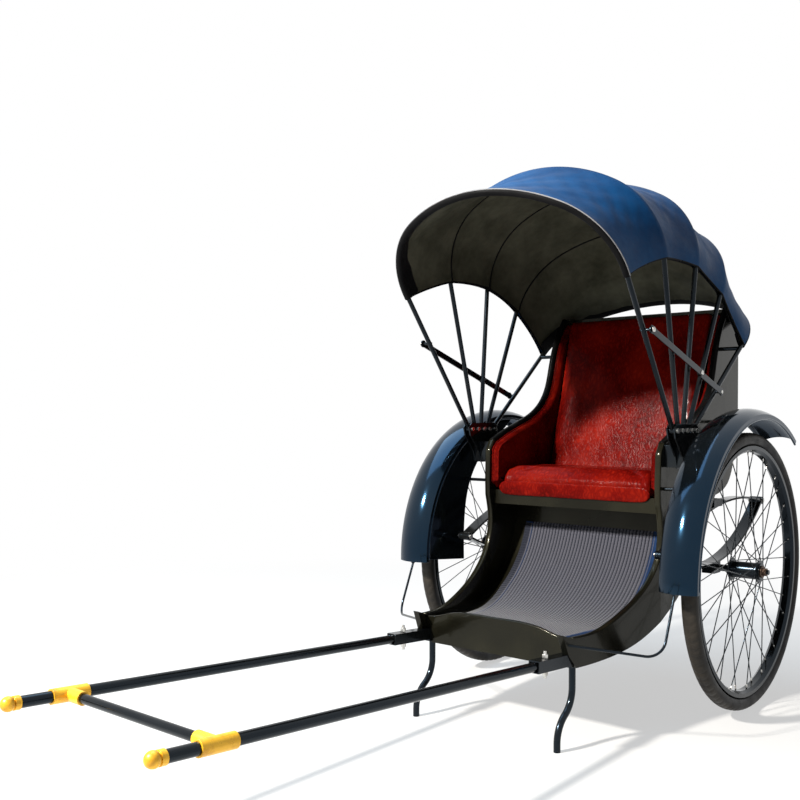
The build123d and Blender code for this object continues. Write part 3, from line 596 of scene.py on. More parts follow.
def sweep(path: Array, profile: Array, across: Array) -> Array:
    """Profile carried along a path.

    At each path point the profile's first axis is the across direction made square to the path,
    and its second axis is the path's direction crossed with the first.

    Args:
        path: points of the path.
        profile: points of the profile.
        across: one direction, or one for each path point.

    Returns:
        Grid of points, path by profile.
    """
    along = unit(np.gradient(path, axis=0))
    across = np.broadcast_to(np.asarray(across, float), path.shape)
    first = unit(across - along * np.sum(across * along, axis=1, keepdims=True))
    second = np.cross(along, first)
    return path[:, None] + profile[None, :, :1] * first[:, None] + profile[None, :, 1:] * second[:, None]


def normals(grid: Array) -> Array:
    """Normals of a grid: the cross product of its two differences."""
    return unit(np.cross(np.gradient(grid, axis=0), np.gradient(grid, axis=1)))


def quads(index: Array) -> Array:
    """Faces between neighbours of an index grid."""
    return np.stack([index[:-1, :-1], index[1:, :-1], index[1:, 1:], index[:-1, 1:]], axis=-1).reshape(-1, 4)


def mesh_object(name: str, points: Array, faces: list, finish: Material) -> Piece:
    """Smooth-shaded mesh object at the origin whose faces point outwards.

    Args:
        name: the piece's name.
        points: its points, in the row frame.
        faces: its faces, as lists of point numbers.
        finish: its material.

    Returns:
        The object, linked to the scene.
    """
    mesh = bpy.data.meshes.new(name)
    mesh.from_pydata(points.reshape(-1, 3), [], faces)
    work = bmesh.new()
    work.from_mesh(mesh)
    bmesh.ops.recalc_face_normals(work, faces=work.faces)
    work.to_mesh(mesh)
    work.free()
    mesh.shade_smooth()
    mesh.materials.append(finish)
    piece = bpy.data.objects.new(name, mesh)
    bpy.context.scene.collection.objects.link(piece)
    return piece


def tube_object(name: str, grid: Array, finish: Material, ring: bool = False) -> Piece:
    """Closed piece from a grid whose profile closes on itself.

    Args:
        name: the piece's name.
        grid: points, path by profile.
        finish: its material.
        ring: True where the path closes too; otherwise one polygon caps each end.

    Returns:
        The object.
    """
    index = np.arange(grid.shape[0] * grid.shape[1]).reshape(grid.shape[:2])
    round_index = np.concatenate([index, index[:, :1]], axis=1)
    if ring:
        round_index = np.concatenate([round_index, round_index[:1]], axis=0)
    faces = quads(round_index).tolist()
    if not ring:
        faces += [index[0].tolist(), index[-1].tolist()]
    return mesh_object(name, grid, faces, finish)


def shell_object(
    name: str, grid: Array, thickness: float, finish: Material, facing: Array | None = None
) -> Piece:
    """Thin closed cloth: the grid, the same grid moved along its normals, and strips round the border.

    The UV map holds each point's distance along the grid's two directions, in metres.

    Args:
        name: the piece's name.
        grid: points of one face of the cloth.
        thickness: how far the other face lies along the normals; negative for the other way.
        finish: the material.
        facing: normals of the grid, where it is part of a larger one.

    Returns:
        The object.
    """
    rows, columns = grid.shape[:2]
    facing = normals(grid) if facing is None else facing
    points = np.stack([grid, grid + thickness * facing])
    index = np.arange(2 * rows * columns).reshape(2, rows, columns)
    edges = [index[:, 0, :], index[:, 1:, -1], index[:, -1, -2::-1], index[:, -2:0:-1, 0], index[:, 0, :1]]
    border = np.concatenate(edges, axis=1)
    faces = np.concatenate([quads(index[0]), quads(index[1]), quads(border)])
    piece = mesh_object(name, points, faces.tolist(), finish)
    way = np.sign(thickness) * facing.reshape(-1, 3)
    piece.data.normals_split_custom_set_from_vertices(np.concatenate([-way, way]).tolist())
    along = np.concatenate([[0], np.cumsum(np.linalg.norm(np.diff(grid, axis=0), axis=2).mean(axis=1))])
    over = np.concatenate([[0], np.cumsum(np.linalg.norm(np.diff(grid, axis=1), axis=2).mean(axis=0))])
    flat = np.stack(np.meshgrid(along, over, indexing="ij"), axis=-1).reshape(-1, 2)
    set_uv(piece, np.concatenate([flat, flat]))
    return piece


def set_uv(piece: Piece, flat: Array) -> None:
    """Gives a piece a UV map.

    Args:
        piece: the piece.
        flat: one pair of values for each of its points.
    """
    mesh = piece.data
    corner = np.empty(len(mesh.loops), np.int32)
    mesh.loops.foreach_get("vertex_index", corner)
    layer = mesh.uv_layers.new(name="cloth")
    layer.data.foreach_set("uv", flat[corner].astype(np.float32).ravel())


def set_value(piece: Piece, name: str, values: Array) -> None:
    """Gives a piece a named value for each point, for its material."""
    layer = piece.data.attributes.new(name, "FLOAT", "POINT")
    layer.data.foreach_set("value", values.astype(np.float32).ravel())


def surface_area(grid: Array) -> float:
    """Area of a grid: half the cross product of each quad's diagonals, added up.

    Args:
        grid: the grid's points.

    Returns:
        The area in square metres.
    """
    one = grid[1:, 1:] - grid[:-1, :-1]
    two = grid[1:, :-1] - grid[:-1, 1:]
    return float(np.linalg.norm(np.cross(one, two), axis=2).sum() / 2)


def heads_object(
    name: str, places: Array, facing: Array, radius: float, height: float, finish: Material, sides: int = 16
) -> Piece:
    """Domed bolt heads, one at each place, joined in one mesh.

    A head is rings whose radius falls from the rim to the crown as a quarter ellipse; the rings
    are copied to every place by adding arrays.

    Args:
        name: the piece's name.
        places: the seats' centres.
        facing: the direction of each head, or one for all.
        radius: a head's radius.
        height: a head's height.
        finish: the material.
        sides: points round a head.

    Returns:
        The object.
    """
    places = np.atleast_2d(np.asarray(places, float))
    facing = unit(np.broadcast_to(np.asarray(facing, float), places.shape))
    aside = np.where(np.abs(facing[:, :1]) > 0.9, (0.0, 0.0, 1.0), (1.0, 0.0, 0.0))
    first = unit(np.cross(facing, aside))
    second = np.cross(facing, first)
    rise = np.array([0.0, 0.35, 0.7, 0.92, 1.0])
    wide = np.array([1.0, 1.0, 0.86, 0.5, 0.12])
    ring = circle(radius, sides)
    flat = (wide[:, None, None] * ring).reshape(-1, 2)
    up = np.repeat(rise * height, sides)
    points = (
        places[:, None] + flat[None, :, :1] * first[:, None] + flat[None, :, 1:] * second[:, None]
        + up[None, :, None] * facing[:, None]
    )
    index = np.arange(len(rise) * sides).reshape(len(rise), sides)
    wrapped = np.concatenate([index, index[:, :1]], axis=1)
    offset = np.arange(len(places)) * index.size
    sides_faces = (quads(wrapped)[None] + offset[:, None, None]).reshape(-1, 4)
    caps = np.stack([index[0], index[-1]])
    cap_faces = (caps[None] + offset[:, None, None]).reshape(-1, sides)
    return mesh_object(name, points, sides_faces.tolist() + cap_faces.tolist(), finish)


def settle(piece: Piece, body: str) -> Piece:
    """Fixes a finished piece to a body and reports it.

    Args:
        piece: the piece.
        body: the body that it moves with.

    Returns:
        The piece.
    """
    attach(piece, body)
    LOG.info("%s on %s: %d points", piece.name, body, len(piece.data.vertices))
    return piece


def cushion(piece: Piece, voxel: float, cap: float, held: Array, pressure: float = 4.0) -> None:
    """Blows a closed form up as a stuffed pad, by cloth simulation.

    The form is remeshed into even quads, cloth under pressure is stepped over a few frames with
    no gravity, each point's movement is shortened to the cap, and a subdivision finishes it.

    Args:
        piece: the pad's form.
        voxel: the size of the remeshed quads.
        cap: how far a point may move.
        held: lowest and highest corner of the box in which points stay still.
        pressure: the cloth's pressure.
    """
    scene = bpy.context.scene
    remesh = piece.modifiers.new("even_quads", "REMESH")
    remesh.mode = "VOXEL"
    remesh.voxel_size = voxel
    piece.data = evaluated_mesh(piece)
    piece.modifiers.clear()
    start = coordinates(piece.data)
    still = np.all((start > held[0]) & (start < held[1]), axis=1)
    group = piece.vertex_groups.new(name="held")
    group.add(np.flatnonzero(still).tolist(), 1.0, "REPLACE")
    cloth = piece.modifiers.new("stuffing", "CLOTH")
    cloth.settings.quality = 4
    cloth.settings.mass = 0.2
    cloth.settings.use_pressure = True
    cloth.settings.uniform_pressure_force = pressure
    cloth.settings.vertex_group_mass = group.name
    cloth.settings.effector_weights.gravity = 0
    cloth.collision_settings.use_collision = False
    cloth.point_cache.frame_start = 1
    cloth.point_cache.frame_end = CLOTH_FRAMES
    for frame in range(1, CLOTH_FRAMES + 1):
        scene.frame_set(frame)
    blown = coordinates(evaluated_mesh(piece))
    piece.modifiers.clear()
    piece.vertex_groups.clear()
    scene.frame_set(1)
    moved = blown - start
    far = np.linalg.norm(moved, axis=1, keepdims=True)
    place = start + moved * np.minimum(1, cap / np.maximum(far, 1e-9))
    piece.data.vertices.foreach_set("co", place.astype(np.float32).ravel())
    piece.data.update()
    piece.data.shade_smooth()
    soft = piece.modifiers.new("finish", "SUBSURF")
    soft.levels = 1
    soft.render_levels = 1


def evaluated_mesh(piece: Piece) -> bpy.types.Mesh:
    """A new mesh of a piece with its modifiers applied.

    Args:
        piece: the piece.

    Returns:
        The mesh, under the piece's name.
    """
    bpy.context.view_layer.update()
    graph = bpy.context.evaluated_depsgraph_get()
    mesh = bpy.data.meshes.new_from_object(piece.evaluated_get(graph))
    mesh.name = piece.name
    return mesh


def coordinates(mesh: bpy.types.Mesh) -> Array:
    """A mesh's points as an array.

    Args:
        mesh: the mesh.

    Returns:
        One row of three for each point.
    """
    flat = np.empty(3 * len(mesh.vertices))
    mesh.vertices.foreach_get("co", flat)
    return flat.reshape(-1, 3)


def seen_ray(tree: bpy.types.NodeTree) -> Socket:
    """1 for a ray from the camera, a reflection or a clear piece, and 0 for one that lights.

    Args:
        tree: the node tree that uses it.

    Returns:
        The largest of the three light path values.
    """
    path = tree.nodes.new("ShaderNodeLightPath")
    seen = path.outputs["Is Camera Ray"]
    for kind in ("Is Transmission Ray", "Is Glossy Ray"):
        largest = tree.nodes.new("ShaderNodeMath")
        largest.operation = "MAXIMUM"
        tree.links.new(seen, largest.inputs[0])
        tree.links.new(path.outputs[kind], largest.inputs[1])
        seen = largest.outputs[0]
    return seen


# Sub-assemblies


@dataclass(frozen=True)
class Lamp:
    """Square soft lamp aimed at a point."""

    name: str
    at: Place
    aim: Place
    size: float
    power: float
    colour: Colour

    def build(self) -> None:
        """Builds the lamp, turned so that its minus Z axis points at its aim."""
        data = bpy.data.lights.new(self.name, "AREA")
        data.size = self.size
        data.energy = self.power
        data.color = self.colour
        lamp = bpy.data.objects.new(self.name, data)
        lamp.location = self.at
        lamp.rotation_euler = (Vector(self.aim) - Vector(self.at)).to_track_quat("-Z", "Y").to_euler()
        bpy.context.scene.collection.objects.link(lamp)


@dataclass
class Stage:
    """Camera at the photograph's place, pale floor, white surround and soft lights."""

    camera_at: Place = (1.5324, -2.0654, 0.8446)
    azimuth: float = 40.97
    elevation: float = 1.02
    lens: float = 44.25
    sensor: float = 36.0
    shift: tuple[float, float] = (0.0095, 0.0433)
    floor_radius: float = 40.0
    floor_colour: Colour = (0.66, 0.66, 0.65)
    shadow_near: float = 1.2
    shadow_far: float = 3.4
    white_near: float = 0.55
    surround: float = 0.13
    key: Lamp = Lamp("key_light", (-1.606, -4.092, 3.85), (0.0, 0.85, 0.85), 0.36, 950.0, (1.0, 0.95, 0.88))
    sky: Lamp = Lamp("sky_light", (-1.3, 0.1, 4.2), (0.0, 0.4, 0.6), 3.2, 130.0, (0.50, 0.76, 1.0))

    def build(self) -> None:
        """Builds the camera, floor, surround and lights."""
        self.camera()
        self.floor()
        self.world()
        self.key.build()
        self.sky.build()
        bpy.context.scene.view_settings.view_transform = "Standard"

    def camera(self) -> None:
        """Camera whose axes come from its azimuth and elevation, with no roll."""
        turn, lift = math.radians(self.azimuth), math.radians(self.elevation)
        back = Vector((math.sin(turn) * math.cos(lift), -math.cos(turn) * math.cos(lift), math.sin(lift)))
        right = Vector((math.cos(turn), math.sin(turn), 0))
        up = back.cross(right)
        data = bpy.data.cameras.new("camera")
        data.lens = self.lens
        data.sensor_fit = "HORIZONTAL"
        data.sensor_width = self.sensor
        data.shift_x, data.shift_y = self.shift
        eye = bpy.data.objects.new("camera", data)
        axes = Matrix((right, up, back)).transposed().to_4x4()
        eye.matrix_world = Matrix.Translation(self.camera_at) @ axes
        bpy.context.scene.collection.objects.link(eye)
        bpy.context.scene.camera = eye

    def floor(self) -> None:
        """Round pale floor that keeps the shadow near the object and turns white far from it."""
        shader = Shader("pale_floor")
        shader.set(Base_Color=self.floor_colour, Roughness=0.9, Specular_IOR_Level=0.1)
        distance = shader.add("ShaderNodeVectorMath", {"operation": "LENGTH"})
        shader.links.new(shader.place.outputs["Object"], distance.inputs[0])
        reach = {"From_Min": self.shadow_near, "From_Max": self.shadow_far, "To_Min": self.white_near}
        away = shader.add("ShaderNodeMapRange", Value=distance.outputs["Value"], **reach)
        share = shader.nodes.new("ShaderNodeMath")
        share.operation = "MULTIPLY"
        shader.links.new(away.outputs[0], share.inputs[0])
        shader.links.new(seen_ray(shader.material.node_tree), share.inputs[1])
        white = shader.add("ShaderNodeEmission")
        blend = shader.add("ShaderNodeMixShader", Fac=share.outputs[0])
        shader.links.new(shader.surface.outputs[0], blend.inputs[1])
        shader.links.new(white.outputs[0], blend.inputs[2])
        out = next(node for node in shader.nodes if node.type == "OUTPUT_MATERIAL")
        shader.links.new(blend.outputs[0], out.inputs["Surface"])
        rings = np.array([0.001, 1.5, 4.0, self.floor_radius])
        grid = rings[:, None, None] * circle(1.0, 64)[None]
        points = np.concatenate([grid, np.zeros((*grid.shape[:2], 1))], axis=2)
        index = np.arange(points[..., 0].size).reshape(points.shape[:2])
        faces = quads(np.concatenate([index, index[:, :1]], axis=1)).tolist() + [index[0].tolist()]
        piece = mesh_object("floor", points, faces, shader.material)
        piece.data.flip_normals()

    def world(self) -> None:
        """White surround for what the camera and reflections see, and a softer level that lights."""
        world = bpy.data.worlds.new("surround")
        world.use_nodes = True
        nodes, links = world.node_tree.nodes, world.node_tree.links
        back = nodes["Background"]
        level = nodes.new("ShaderNodeMapRange")
        level.inputs["To Min"].default_value = self.surround
        level.inputs["To Max"].default_value = 1.0
        links.new(seen_ray(world.node_tree), level.inputs["Value"])
        back.inputs["Color"].default_value = (1.0, 1.0, 1.0, 1.0)
        links.new(level.outputs[0], back.inputs["Strength"])
        bpy.context.scene.world = world


@dataclass
class Wheel:
    """One wire wheel's tyre and spoke nipples."""

    side: Side
    finishes: Finishes
    blocks: int = 96
    tread_depth: float = 0.0016
    nipple_radius: float = 0.0024
    nipple_length: float = 0.014
    spoke_count: int = 36
    spoke_circle: float = 0.027
    hub_offset: float = 0.040
    rim_offset: float = 0.004
    cross_angle: float = 60.0
    rib_width: float = 0.0022
    ridge_height: float = 0.0006

    def build(self) -> None:
        """Builds the tyre and the nipples."""
        low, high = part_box(f"tyre_{self.side.word}")
        self.centre = np.array((low + high) / 2)
        self.radius = (high.z - low.z) / 2
        self.half_width = (high.x - low.x) / 2
        rim_low, rim_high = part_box(f"rim_{self.side.word}")
        self.rim_radius = (rim_high.z - rim_low.z) / 2
        self.body = f"wheel_{self.side.word}"
        self.tyre()
        self.nipples()

    def tyre(self) -> None:
        """Tyre: an oval section turned about the axle, its crown cut by slanted tread grooves.

        The grooves are a cosine of the angle, shifted by the distance from the middle, and a
        bell curve cuts one more along the middle. A second bell curve raises the side's ridge.
        """
        around = np.linspace(0, 2 * np.pi, 6 * self.blocks, endpoint=False)
        turn = np.linspace(0, 2 * np.pi, 44, endpoint=False)
        middle = (self.radius + self.rim_radius) / 2
        tall = (self.radius - self.rim_radius) / 2
        wave = np.stack([np.cos(turn), np.sin(turn)], axis=1)
        section = np.sign(wave) * np.abs(wave) ** (0.86, 0.95) * (self.half_width, tall)
        crown = smooth(wave[:, 1], 0.45, 0.8)
        slant = np.abs(section[:, 0]) / self.half_width
        block = np.cos(self.blocks * around[:, None] + 3.2 * slant[None])
        groove = smooth(block, 0.35, 0.9) * crown
        rib = np.exp(-((section[:, 0] / self.rib_width) ** 2)) * crown
        ridge = self.ridge_height * np.exp(-(((wave[:, 1] + 0.15) / 0.06) ** 2))
        depth = self.tread_depth * np.maximum(groove, 0.8 * rib[None]) - ridge[None]
        reach = middle + section[None, :, 1] - depth
        across = np.broadcast_to(section[None, :, 0], reach.shape)
        grid = np.stack([across, reach * np.cos(around)[:, None], reach * np.sin(around)[:, None]], axis=2)
        name = f"tyre_tread_{self.side.word}"
        piece = tube_object(name, grid + self.centre, self.finishes.rubber, ring=True)
        # dusty brown and painted ground reflection, strongest on the tread
        set_value(piece, "wear", np.broadcast_to(smooth(wave[:, 1], -0.2, 0.9), reach.shape))
        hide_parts(f"tyre_{self.side.word}")
        settle(piece, self.body)

    def nipples(self) -> None:
        """Spoke nipples: short eight-sided pins under the rim, each in line with its spoke."""
        low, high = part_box(f"hub_{self.side.word}")
        reach = (high.z - low.z) / 2
        number = np.arange(self.spoke_count)
        end = np.where(number % 2 == 1, 1.0, -1.0)
        lean = np.where(number % 4 < 2, 1.0, -1.0)
        start = 2 * np.pi * number / self.spoke_count
        stop = start + lean * np.radians(self.cross_angle)
        near = self.round_axle(end * self.hub_offset, self.spoke_circle, start)
        far = self.round_axle(end * self.rim_offset, reach, stop)
        inward = unit(near - far)
        piece = heads_object(
            f"nipples_{self.side.word}", self.centre + far, inward, self.nipple_radius, self.nipple_length,
            self.finishes.steel, 8,
        )
        settle(piece, self.body)

    def round_axle(self, x: Array, radius: float, angle: Array) -> Array:
        """Points on a circle about the axle, each at its own X."""
        return np.stack([x, radius * np.cos(angle), radius * np.sin(angle)], axis=1)


@dataclass
class Hood:
    """Folding hood: canvas and lining gores on five bows, their hems, piping and stay bolts.

    Each bow carries the cloth halfway to its neighbours, so the gores meet in one smooth sheet
    while the hood is up.
    """

    finishes: Finishes
    axle_y: float = 0.760
    pivot_x: float = 0.346
    pivot_first: float = -0.287
    pivot_pitch: float = 0.03125
    pivot_z: float = 0.807
    bow_radius: float = 0.007
    half_width: float = 0.358
    corner: float = 0.240
    corner_angle: float = 60.0
    angles: tuple[float, ...] = (-36.4, -14.1, 6.4, 25.7, 51.6)
    folded: tuple[float, ...] = (37.7, 41.175, 44.65, 48.125, 51.6)
    tops: tuple[float, ...] = (0.764, 0.750, 0.738, 0.724, 0.700)
    drops: tuple[float, ...] = (0.003, 0.004, 0.004, 0.011, 0.010)
    canvas_out: float = 0.0078
    lining_in: float = 0.0080
    cloth: float = 0.0014
    canvas_sag: float = 0.0125
    lining_sag: float = 0.0035
    edge_lift: float = 0.005
    gather: tuple[float, ...] = (1.0, 1.0, 1.0, 0.2, 1.0)
    gather_ahead: tuple[float, ...] = (0.0, 0.0, 0.0, 0.008, 0.0)
    crease_depth: float = 0.0016
    tuck_depth: float = 0.004
    half_steps: int = 11
    across_steps: int = 161
    hem_width: float = 0.042
    hem_cloth: float = 0.0011
    binding_half: float = 0.0016
    canvas_binding: float = 0.0030
    lining_binding: float = 0.0042
    seam_half: tuple[float, float] = (0.0034, 0.0018)
    piping_radius: float = 0.0019
    bolt_size: tuple[float, float] = (0.0075, 0.004)
    rear_bolt_size: tuple[float, float] = (0.0058, 0.0012)
    stay_front_at: float = 0.326
    stay_rear_at: float = 0.179
    stay_share: float = 0.665

    def build(self) -> None:
        """Builds the cloth bow by bow, then the hems, piping and bolts."""
        span = self.span()
        canvas = self.cloth_grid(span, True)
        lining = self.cloth_grid(span, False)
        canvas_way = self.outward(canvas) * normals(canvas)
        lining_way = self.outward(lining) * normals(lining)
        for bow in range(5):
            part = self.part(bow)
            top, under = canvas[:, part], lining[:, part]
            extras = self.edge_bindings(bow, top, under)
            extras += [self.front_piping()] if bow == 0 else []
            extras += [self.hem(bow, 1.0 if bow == 0 else -1.0)] if bow in (0, 4) else [self.seam(bow)]
            outer = shell_object(
                f"hood_canvas_{bow + 1}", top, self.cloth, self.finishes.canvas, canvas_way[:, part]
            )
            inner = shell_object(
                f"hood_lining_{bow + 1}", under, -self.cloth, self.finishes.lining, lining_way[:, part]
            )
            for piece, grid, trims in ((outer, top, extras), (inner, under, [])):
                size = self.flat_size(grid)
                area = min(surface_area(grid), size[0] * size[1])
            if bow < 4:
                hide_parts(f"canopy_{bow + 1}")
            for piece in [outer, inner, *extras]:
                settle(piece, "carriage" if bow == 4 else f"bow_{bow + 1}")
                self.draw_in(piece, bow)
        self.stay_bolts()

    def span(self) -> Array:
        """Places across the hood, from -1 at the right edge to 1 at the left."""
        return np.linspace(-1, 1, self.across_steps)

    def plane(self, bow: int) -> tuple[Array, Array, Array]:
        """Plane that a bow lies in.

        Args:
            bow: the bow's number.

        Returns:
            Its origin on the pivot, the direction along the bow, and the normal that points forward.
        """
        angle = math.radians(self.angles[bow])
        origin = np.array([0, self.axle_y + self.pivot_first + bow * self.pivot_pitch, self.pivot_z])
        along = np.array([0, math.sin(angle), math.cos(angle)])
        return origin, along, np.array([0, -math.cos(angle), math.sin(angle)])

    def arch(self, bow: int, out: float, span: Array, edge: float | None = None) -> Array:
        """Points of a bow's arch in its own plane.

        From the middle outwards the arch is a wide crown arc, a corner arc and a straight leg,
        each given a fixed share of the span; all three are moved outwards by the same distance.

        Args:
            bow: the bow's number.
            out: how far outside the tube's centre line the arch lies.
            span: from -1 at the right edge over 0 at the crown to 1 at the left edge.
            edge: where the leg ends, along the bow from its pivot.

        Returns:
            Points as X and distance along the bow.
        """
        turn = math.radians(self.corner_angle)
        leg = self.leg(bow)
        edge = self.edge(bow) if edge is None else edge
        tilt = math.atan((self.half_width - self.pivot_x) / leg)
        centre_x = self.half_width - self.corner * math.cos(tilt)
        centre_y = leg + self.corner * math.sin(tilt)
        radius = self.corner + out
        crown_y = centre_y - centre_x * math.tan(turn)
        crown = centre_x / math.cos(turn) + radius
        share = np.abs(span)
        crown_end, corner_end = 0.48, 0.985
        top_angle = np.pi / 2 - np.clip(share / crown_end, 0, 1) * (np.pi / 2 - turn)
        side_share = np.clip((share - crown_end) / (corner_end - crown_end), 0, 1)
        side_angle = turn - side_share * (turn + tilt)
        leg_share = np.clip((share - corner_end) / (1 - corner_end), 0, 1)
        low_x, low_y = centre_x + radius * math.cos(tilt), centre_y - radius * math.sin(tilt)
        foot_x = self.pivot_x + edge * math.tan(tilt) + out / math.cos(tilt)
        side_x, side_y = centre_x + radius * np.cos(side_angle), centre_y + radius * np.sin(side_angle)
        x = np.where(share < crown_end, crown * np.cos(top_angle), side_x)
        y = np.where(share < crown_end, crown_y + crown * np.sin(top_angle), side_y)
        x = np.where(share > corner_end, low_x + leg_share * (foot_x - low_x), x)
        y = np.where(share > corner_end, low_y + leg_share * (edge - low_y), y)
        return np.stack([np.sign(span) * x, y], axis=1)

    def leg(self, bow: int) -> float:
        """Length of a bow's straight leg: its height at the crown less the rise of its two arcs.

        Args:
            bow: the bow's number.

        Returns:
            The length from the pivot to the corner.
        """
        turn = math.radians(self.corner_angle)
        rise = self.corner + (self.half_width - self.corner) * (1 / math.cos(turn) - math.tan(turn))
        return self.tops[bow] - rise

    def edge(self, bow: int) -> float:
        """Distance along a bow from its pivot to the cloth's lower edge."""
        return self.leg(bow) - self.drops[bow]

    def arch_line(self, bow: int, out: float, span: Array, edge: float | None = None) -> Array:
        """A bow's arch in the row frame.

        Args:
            bow: the bow's number.
            out: how far outside the tube's centre line the arch lies.
            span: places across the hood.
            edge: where the leg ends, along the bow from its pivot.

        Returns:
            The arch's points.
        """
        origin, along, _ = self.plane(bow)
        flat = self.arch(bow, out, span, edge)
        return origin + flat[:, :1] * np.array([1.0, 0, 0]) + flat[:, 1:] * along

    def cloth_grid(self, span: Array, outer: bool) -> Array:
        """Canvas or lining over all the bows: four panels with their shared columns at the bows.

        Args:
            span: places across the hood.
            outer: True for the canvas, False for the lining.

        Returns:
            Grid, across by fore and aft.
        """
        share = np.linspace(0, 1, 2 * self.half_steps + 1)
        panels = [self.panel(number, span, share[:-1], outer) for number in range(4)]
        return np.concatenate([*panels, self.panel(3, span, share[-1:], outer)], axis=1)

    def part(self, bow: int) -> slice:
        """Columns of the whole cloth that a bow carries, halfway to each neighbour."""
        middle = 2 * self.half_steps * bow
        return slice(max(middle - self.half_steps, 0), middle + self.half_steps + 1)

    def panel(self, number: int, span: Array, share: Array, outer: bool) -> Array:
        """Cloth between a bow and the next.

        The cloth is the straight blend of the two arches, moved inwards by a parabola that is
        deepest halfway, with its lower edge lifted by another and soft creases across the crown.

        Args:
            number: the front bow's number.
            span: places across the hood.
            share: shares of the way to the next bow.
            outer: True for the canvas, False for the lining.

        Returns:
            Grid, across by fore and aft.
        """
        out = self.canvas_out if outer else -self.lining_in
        front = self.arch_line(number, out, span)[:, None]
        back = self.arch_line(number + 1, out, span)[:, None]
        way = share[None, :, None]
        hump = 4 * way * (1 - way)
        place = front * (1 - way) + back * way
        heart = self.heart(number) * (1 - way) + self.heart(number + 1) * way
        inward = unit(heart - place)
        width = np.abs(span)[:, None, None]
        slack = (self.canvas_sag if outer else self.lining_sag) * hump * (1 - 0.6 * smooth(width, 0.75, 1.0))
        seam = np.exp(-((np.minimum(way, 1 - way) / 0.07) ** 2))
        tuck = 0.0 if outer else -self.tuck_depth * (1 - seam)
        across = span[:, None, None]
        slow = np.sin(9.0 * across + 21.0 * way + 2.0 * number)
        fold = slow * np.sin(31.0 * across * (1 + 0.3 * way))
        crease = self.crease_depth * fold * hump * (1 - smooth(width, 0.55, 0.95))
        lift = self.edge_lift * hump * smooth(width, 0.78, 1.0)
        up = self.plane(number)[1] * (1 - way) + self.plane(number + 1)[1] * way
        return place + inward * (slack + tuck + crease) + up * lift

    def heart(self, bow: int) -> Array:
        """Point inside the hood that a bow's cloth sags towards."""
        origin, along, _ = self.plane(bow)
        return origin + along * (self.tops[bow] - self.corner - 0.05)

    def outward(self, grid: Array) -> float:
        """1 where a grid's normals point out of the hood, else -1."""
        row, column = grid.shape[0] // 2, grid.shape[1] // 2
        return float(np.sign(normals(grid)[row, column] @ (grid[row, column] - self.heart(2))))

    def flat_size(self, grid: Array) -> tuple[float, float]:
        """Largest width and length of a cut of cloth.

        Args:
            grid: the cloth's grid, across by fore and aft.

        Returns:
            Its length fore and aft, and its length across.
        """
        across = np.linalg.norm(np.diff(grid, axis=0), axis=2).sum(axis=0).max()
        along = np.linalg.norm(np.diff(grid, axis=1), axis=2).sum(axis=1).max()
        return float(along), float(across)

    def edge_bindings(self, bow: int, canvas: Array, lining: Array) -> list[Piece]:
        """Dark bindings on the lower edges: flat ovals swept along each edge of the two cloths.

        Args:
            bow: the number of the bow that carries them.
            canvas: the bow's part of the canvas.
            lining: the bow's part of the lining.

        Returns:
            The four bindings.
        """
        made = []
        cloths = ((canvas, "canvas", self.canvas_binding), (lining, "lining", self.lining_binding))
        for grid, word, tall in cloths:
            for row, next_row, side in ((0, 1, "right"), (-1, -2, "left")):
                up = unit(grid[next_row].mean(axis=0) - grid[row].mean(axis=0))
                band = sweep(grid[row] + up * tall * 0.4, oval(tall, self.binding_half, 10), up)
                made.append(tube_object(f"{word}_binding_{side}_{bow + 1}", band, self.finishes.binding))
        return made

    def hem(self, bow: int, forward: float) -> Piece:
        """Dark hem of the first or last bow: a C round the tube whose inner leg lies on the lining.

        Args:
            bow: the bow's number.
            forward: 1 where the hem closes in front of the tube, -1 behind it.

        Returns:
            The hem, as cloth swept along the arch.
        """
        path = self.arch_line(bow, 0.0, self.span(), self.edge(bow) - 0.003)
        crown = len(path) // 2
        _, along, ahead = self.plane(bow)
        angle = np.radians(np.linspace(72, -90, 13))
        reach = self.bow_radius + 0.0022
        round_part = reach * np.stack([np.cos(angle) * forward, np.sin(angle)], axis=1)
        leg_y = np.full(6, -reach - 0.0012)
        inner_leg = np.stack([np.linspace(-0.008, -self.hem_width, 6) * forward, leg_y], axis=1)
        line = np.concatenate([round_part, inner_leg])
        grid = sweep(path, line, ahead)
        if (grid[crown, 0] - path[crown]) @ along < 0:
            grid = sweep(path, line * (1, -1), ahead)
        front = len(angle) // 2 + 1
        away = np.sign(normals(grid)[crown, front] @ (grid[crown, front] - path[crown]))
        return shell_object(f"hood_hem_{bow + 1}", grid, self.hem_cloth * float(away), self.finishes.binding)

    def seam(self, bow: int) -> Piece:
        """Thin dark seam on the lining: a flat oval swept along a middle bow.

        Args:
            bow: the bow's number.

        Returns:
            The seam.
        """
        _, _, ahead = self.plane(bow)
        path = self.arch_line(bow, -self.lining_in - self.cloth - 0.0004, self.span())
        roll = sweep(path, oval(*self.seam_half, 8), ahead)
        return tube_object(f"lining_seam_{bow + 1}", roll, self.finishes.binding)

    def front_piping(self) -> Piece:
        """Pale piping where the canvas meets the front hem, its pale colour a painted highlight along the
        edge: a circle swept along the first bow.

        Returns:
            The piping.
        """
        _, _, ahead = self.plane(0)
        path = self.arch_line(0, self.bow_radius + 0.0024, self.span(), self.edge(0) - 0.002) + ahead * 0.0028
        roll = sweep(path, circle(self.piping_radius, 10), ahead)
        return tube_object("front_piping", roll, self.finishes.piping)

    def draw_in(self, piece: Piece, bow: int) -> None:
        """Gives a bow's cloth or trim its own copy of its mesh.

        Args:
            piece: cloth or trim that the bow carries.
            bow: the bow's number.
        """
        origin, _, ahead = self.plane(bow)
        origin = origin + ahead * self.gather_ahead[bow]
        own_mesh(piece)

